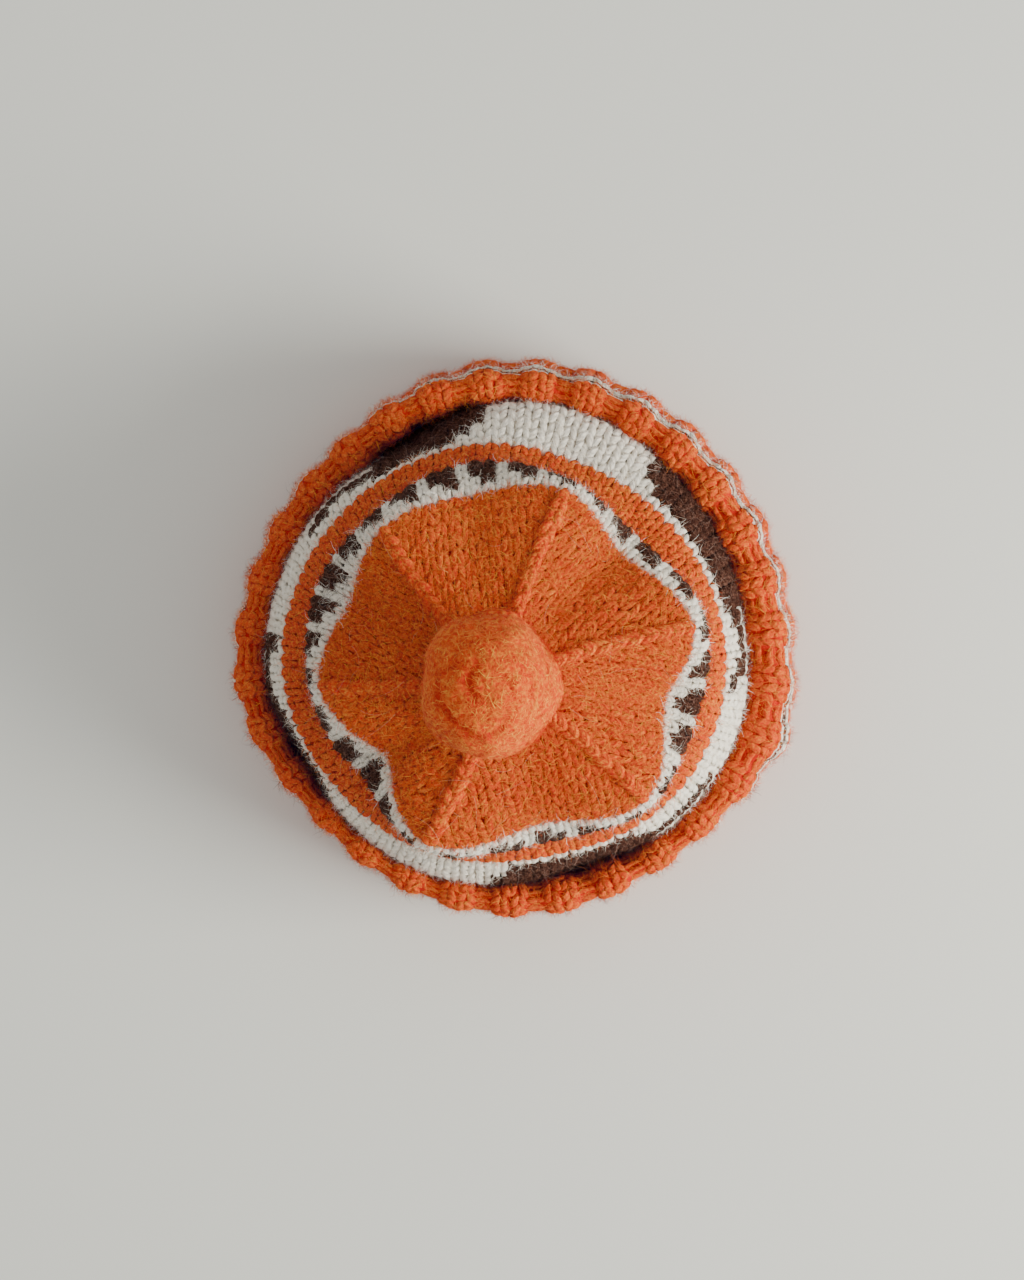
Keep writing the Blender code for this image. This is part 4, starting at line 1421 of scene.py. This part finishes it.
class HAT_OT_stage(bpy.types.Operator):
    """Pale table, soft daylight and the camera straight above"""
    bl_idname = "hat.stage"
    bl_label = "Stage"

    def execute(self, context):
        stage = context.scene.hat_stage
        bm = bmesh.new()
        bmesh.ops.create_grid(bm, x_segments=1, y_segments=1, size=TABLE_REACH)
        bmesh.ops.translate(bm, verts=bm.verts, vec=(0.0, 0.0, -TABLE_DROP))
        mesh = bpy.data.meshes.new("table")
        bm.to_mesh(mesh)
        bm.free()
        mesh.materials.append(table_paint(stage.floor))
        table = bpy.data.objects.new("table", mesh)
        context.scene.collection.objects.link(table)
        self.add_light(context, stage)
        self.add_camera(context, stage)
        return {"FINISHED"}

    def add_light(self, context, stage):
        """One large window light from the right and an even light from all round."""
        window_light(stage.key)
        world = bpy.data.worlds.new("room")
        world.use_nodes = True
        back = world.node_tree.nodes["Background"]
        back.inputs["Color"].default_value = (*ROOM_LIGHT, 1.0)
        back.inputs["Strength"].default_value = stage.fill
        context.scene.world = world

    def add_camera(self, context, stage):
        """Camera straight above the hat, with the top of its picture towards +Y."""
        lens = bpy.data.cameras.new("camera")
        lens.lens = stage.lens
        lens.sensor_width = 36.0
        lens.sensor_fit = "AUTO"
        lens.clip_start = 0.05
        camera = bpy.data.objects.new("camera", lens)
        context.scene.collection.objects.link(camera)
        camera.location = (CAMERA_ASIDE + SHIFT[0], CAMERA_ASIDE + SHIFT[1], stage.height)
        context.scene.camera = camera


# Add-on

OPERATORS = (
    HAT_OT_body_fabric, HAT_OT_body_stitches, HAT_OT_crown_stitches, HAT_OT_cuff_fabric,
    HAT_OT_cuff_stitches, HAT_OT_toorie, HAT_OT_fibres, HAT_OT_stage)
SETTINGS = (
    ("hat_yarn", YarnSettings), ("hat_fibre", FibreSettings),
    ("hat_toorie", ToorieSettings), ("hat_stage", StageSettings))


class HAT_PT_pieces(bpy.types.Panel):
    """Pieces of the hat and their settings"""
    bl_idname = "HAT_PT_pieces"
    bl_label = "Hat"
    bl_space_type = "VIEW_3D"
    bl_region_type = "UI"
    bl_category = "Hat"

    def draw(self, context):
        for name, kind in SETTINGS:
            box = self.layout.box()
            settings = getattr(context.scene, name)
            for field in kind.__annotations__:
                box.prop(settings, field)
        for operator in OPERATORS:
            self.layout.operator(operator.bl_idname)


def register():
    """Add the settings, the operators and the panel to Blender."""
    for name, kind in SETTINGS:
        bpy.utils.register_class(kind)
        setattr(bpy.types.Scene, name, bpy.props.PointerProperty(type=kind))
    for kind in (*OPERATORS, HAT_PT_pieces):
        bpy.utils.register_class(kind)


def unregister():
    """Take them away again."""
    for kind in (HAT_PT_pieces, *reversed(OPERATORS)):
        bpy.utils.unregister_class(kind)
    for name, kind in reversed(SETTINGS):
        delattr(bpy.types.Scene, name)
        bpy.utils.unregister_class(kind)


def main():
    """Make every piece and the stage."""
    register()
    bpy.ops.hat.body_fabric()
    bpy.ops.hat.body_stitches()
    bpy.ops.hat.crown_stitches()
    bpy.ops.hat.cuff_fabric()
    bpy.ops.hat.cuff_stitches()
    bpy.ops.hat.toorie()
    bpy.ops.hat.fibres()
    bpy.ops.hat.stage()


if __name__ == "__main__":
    main()
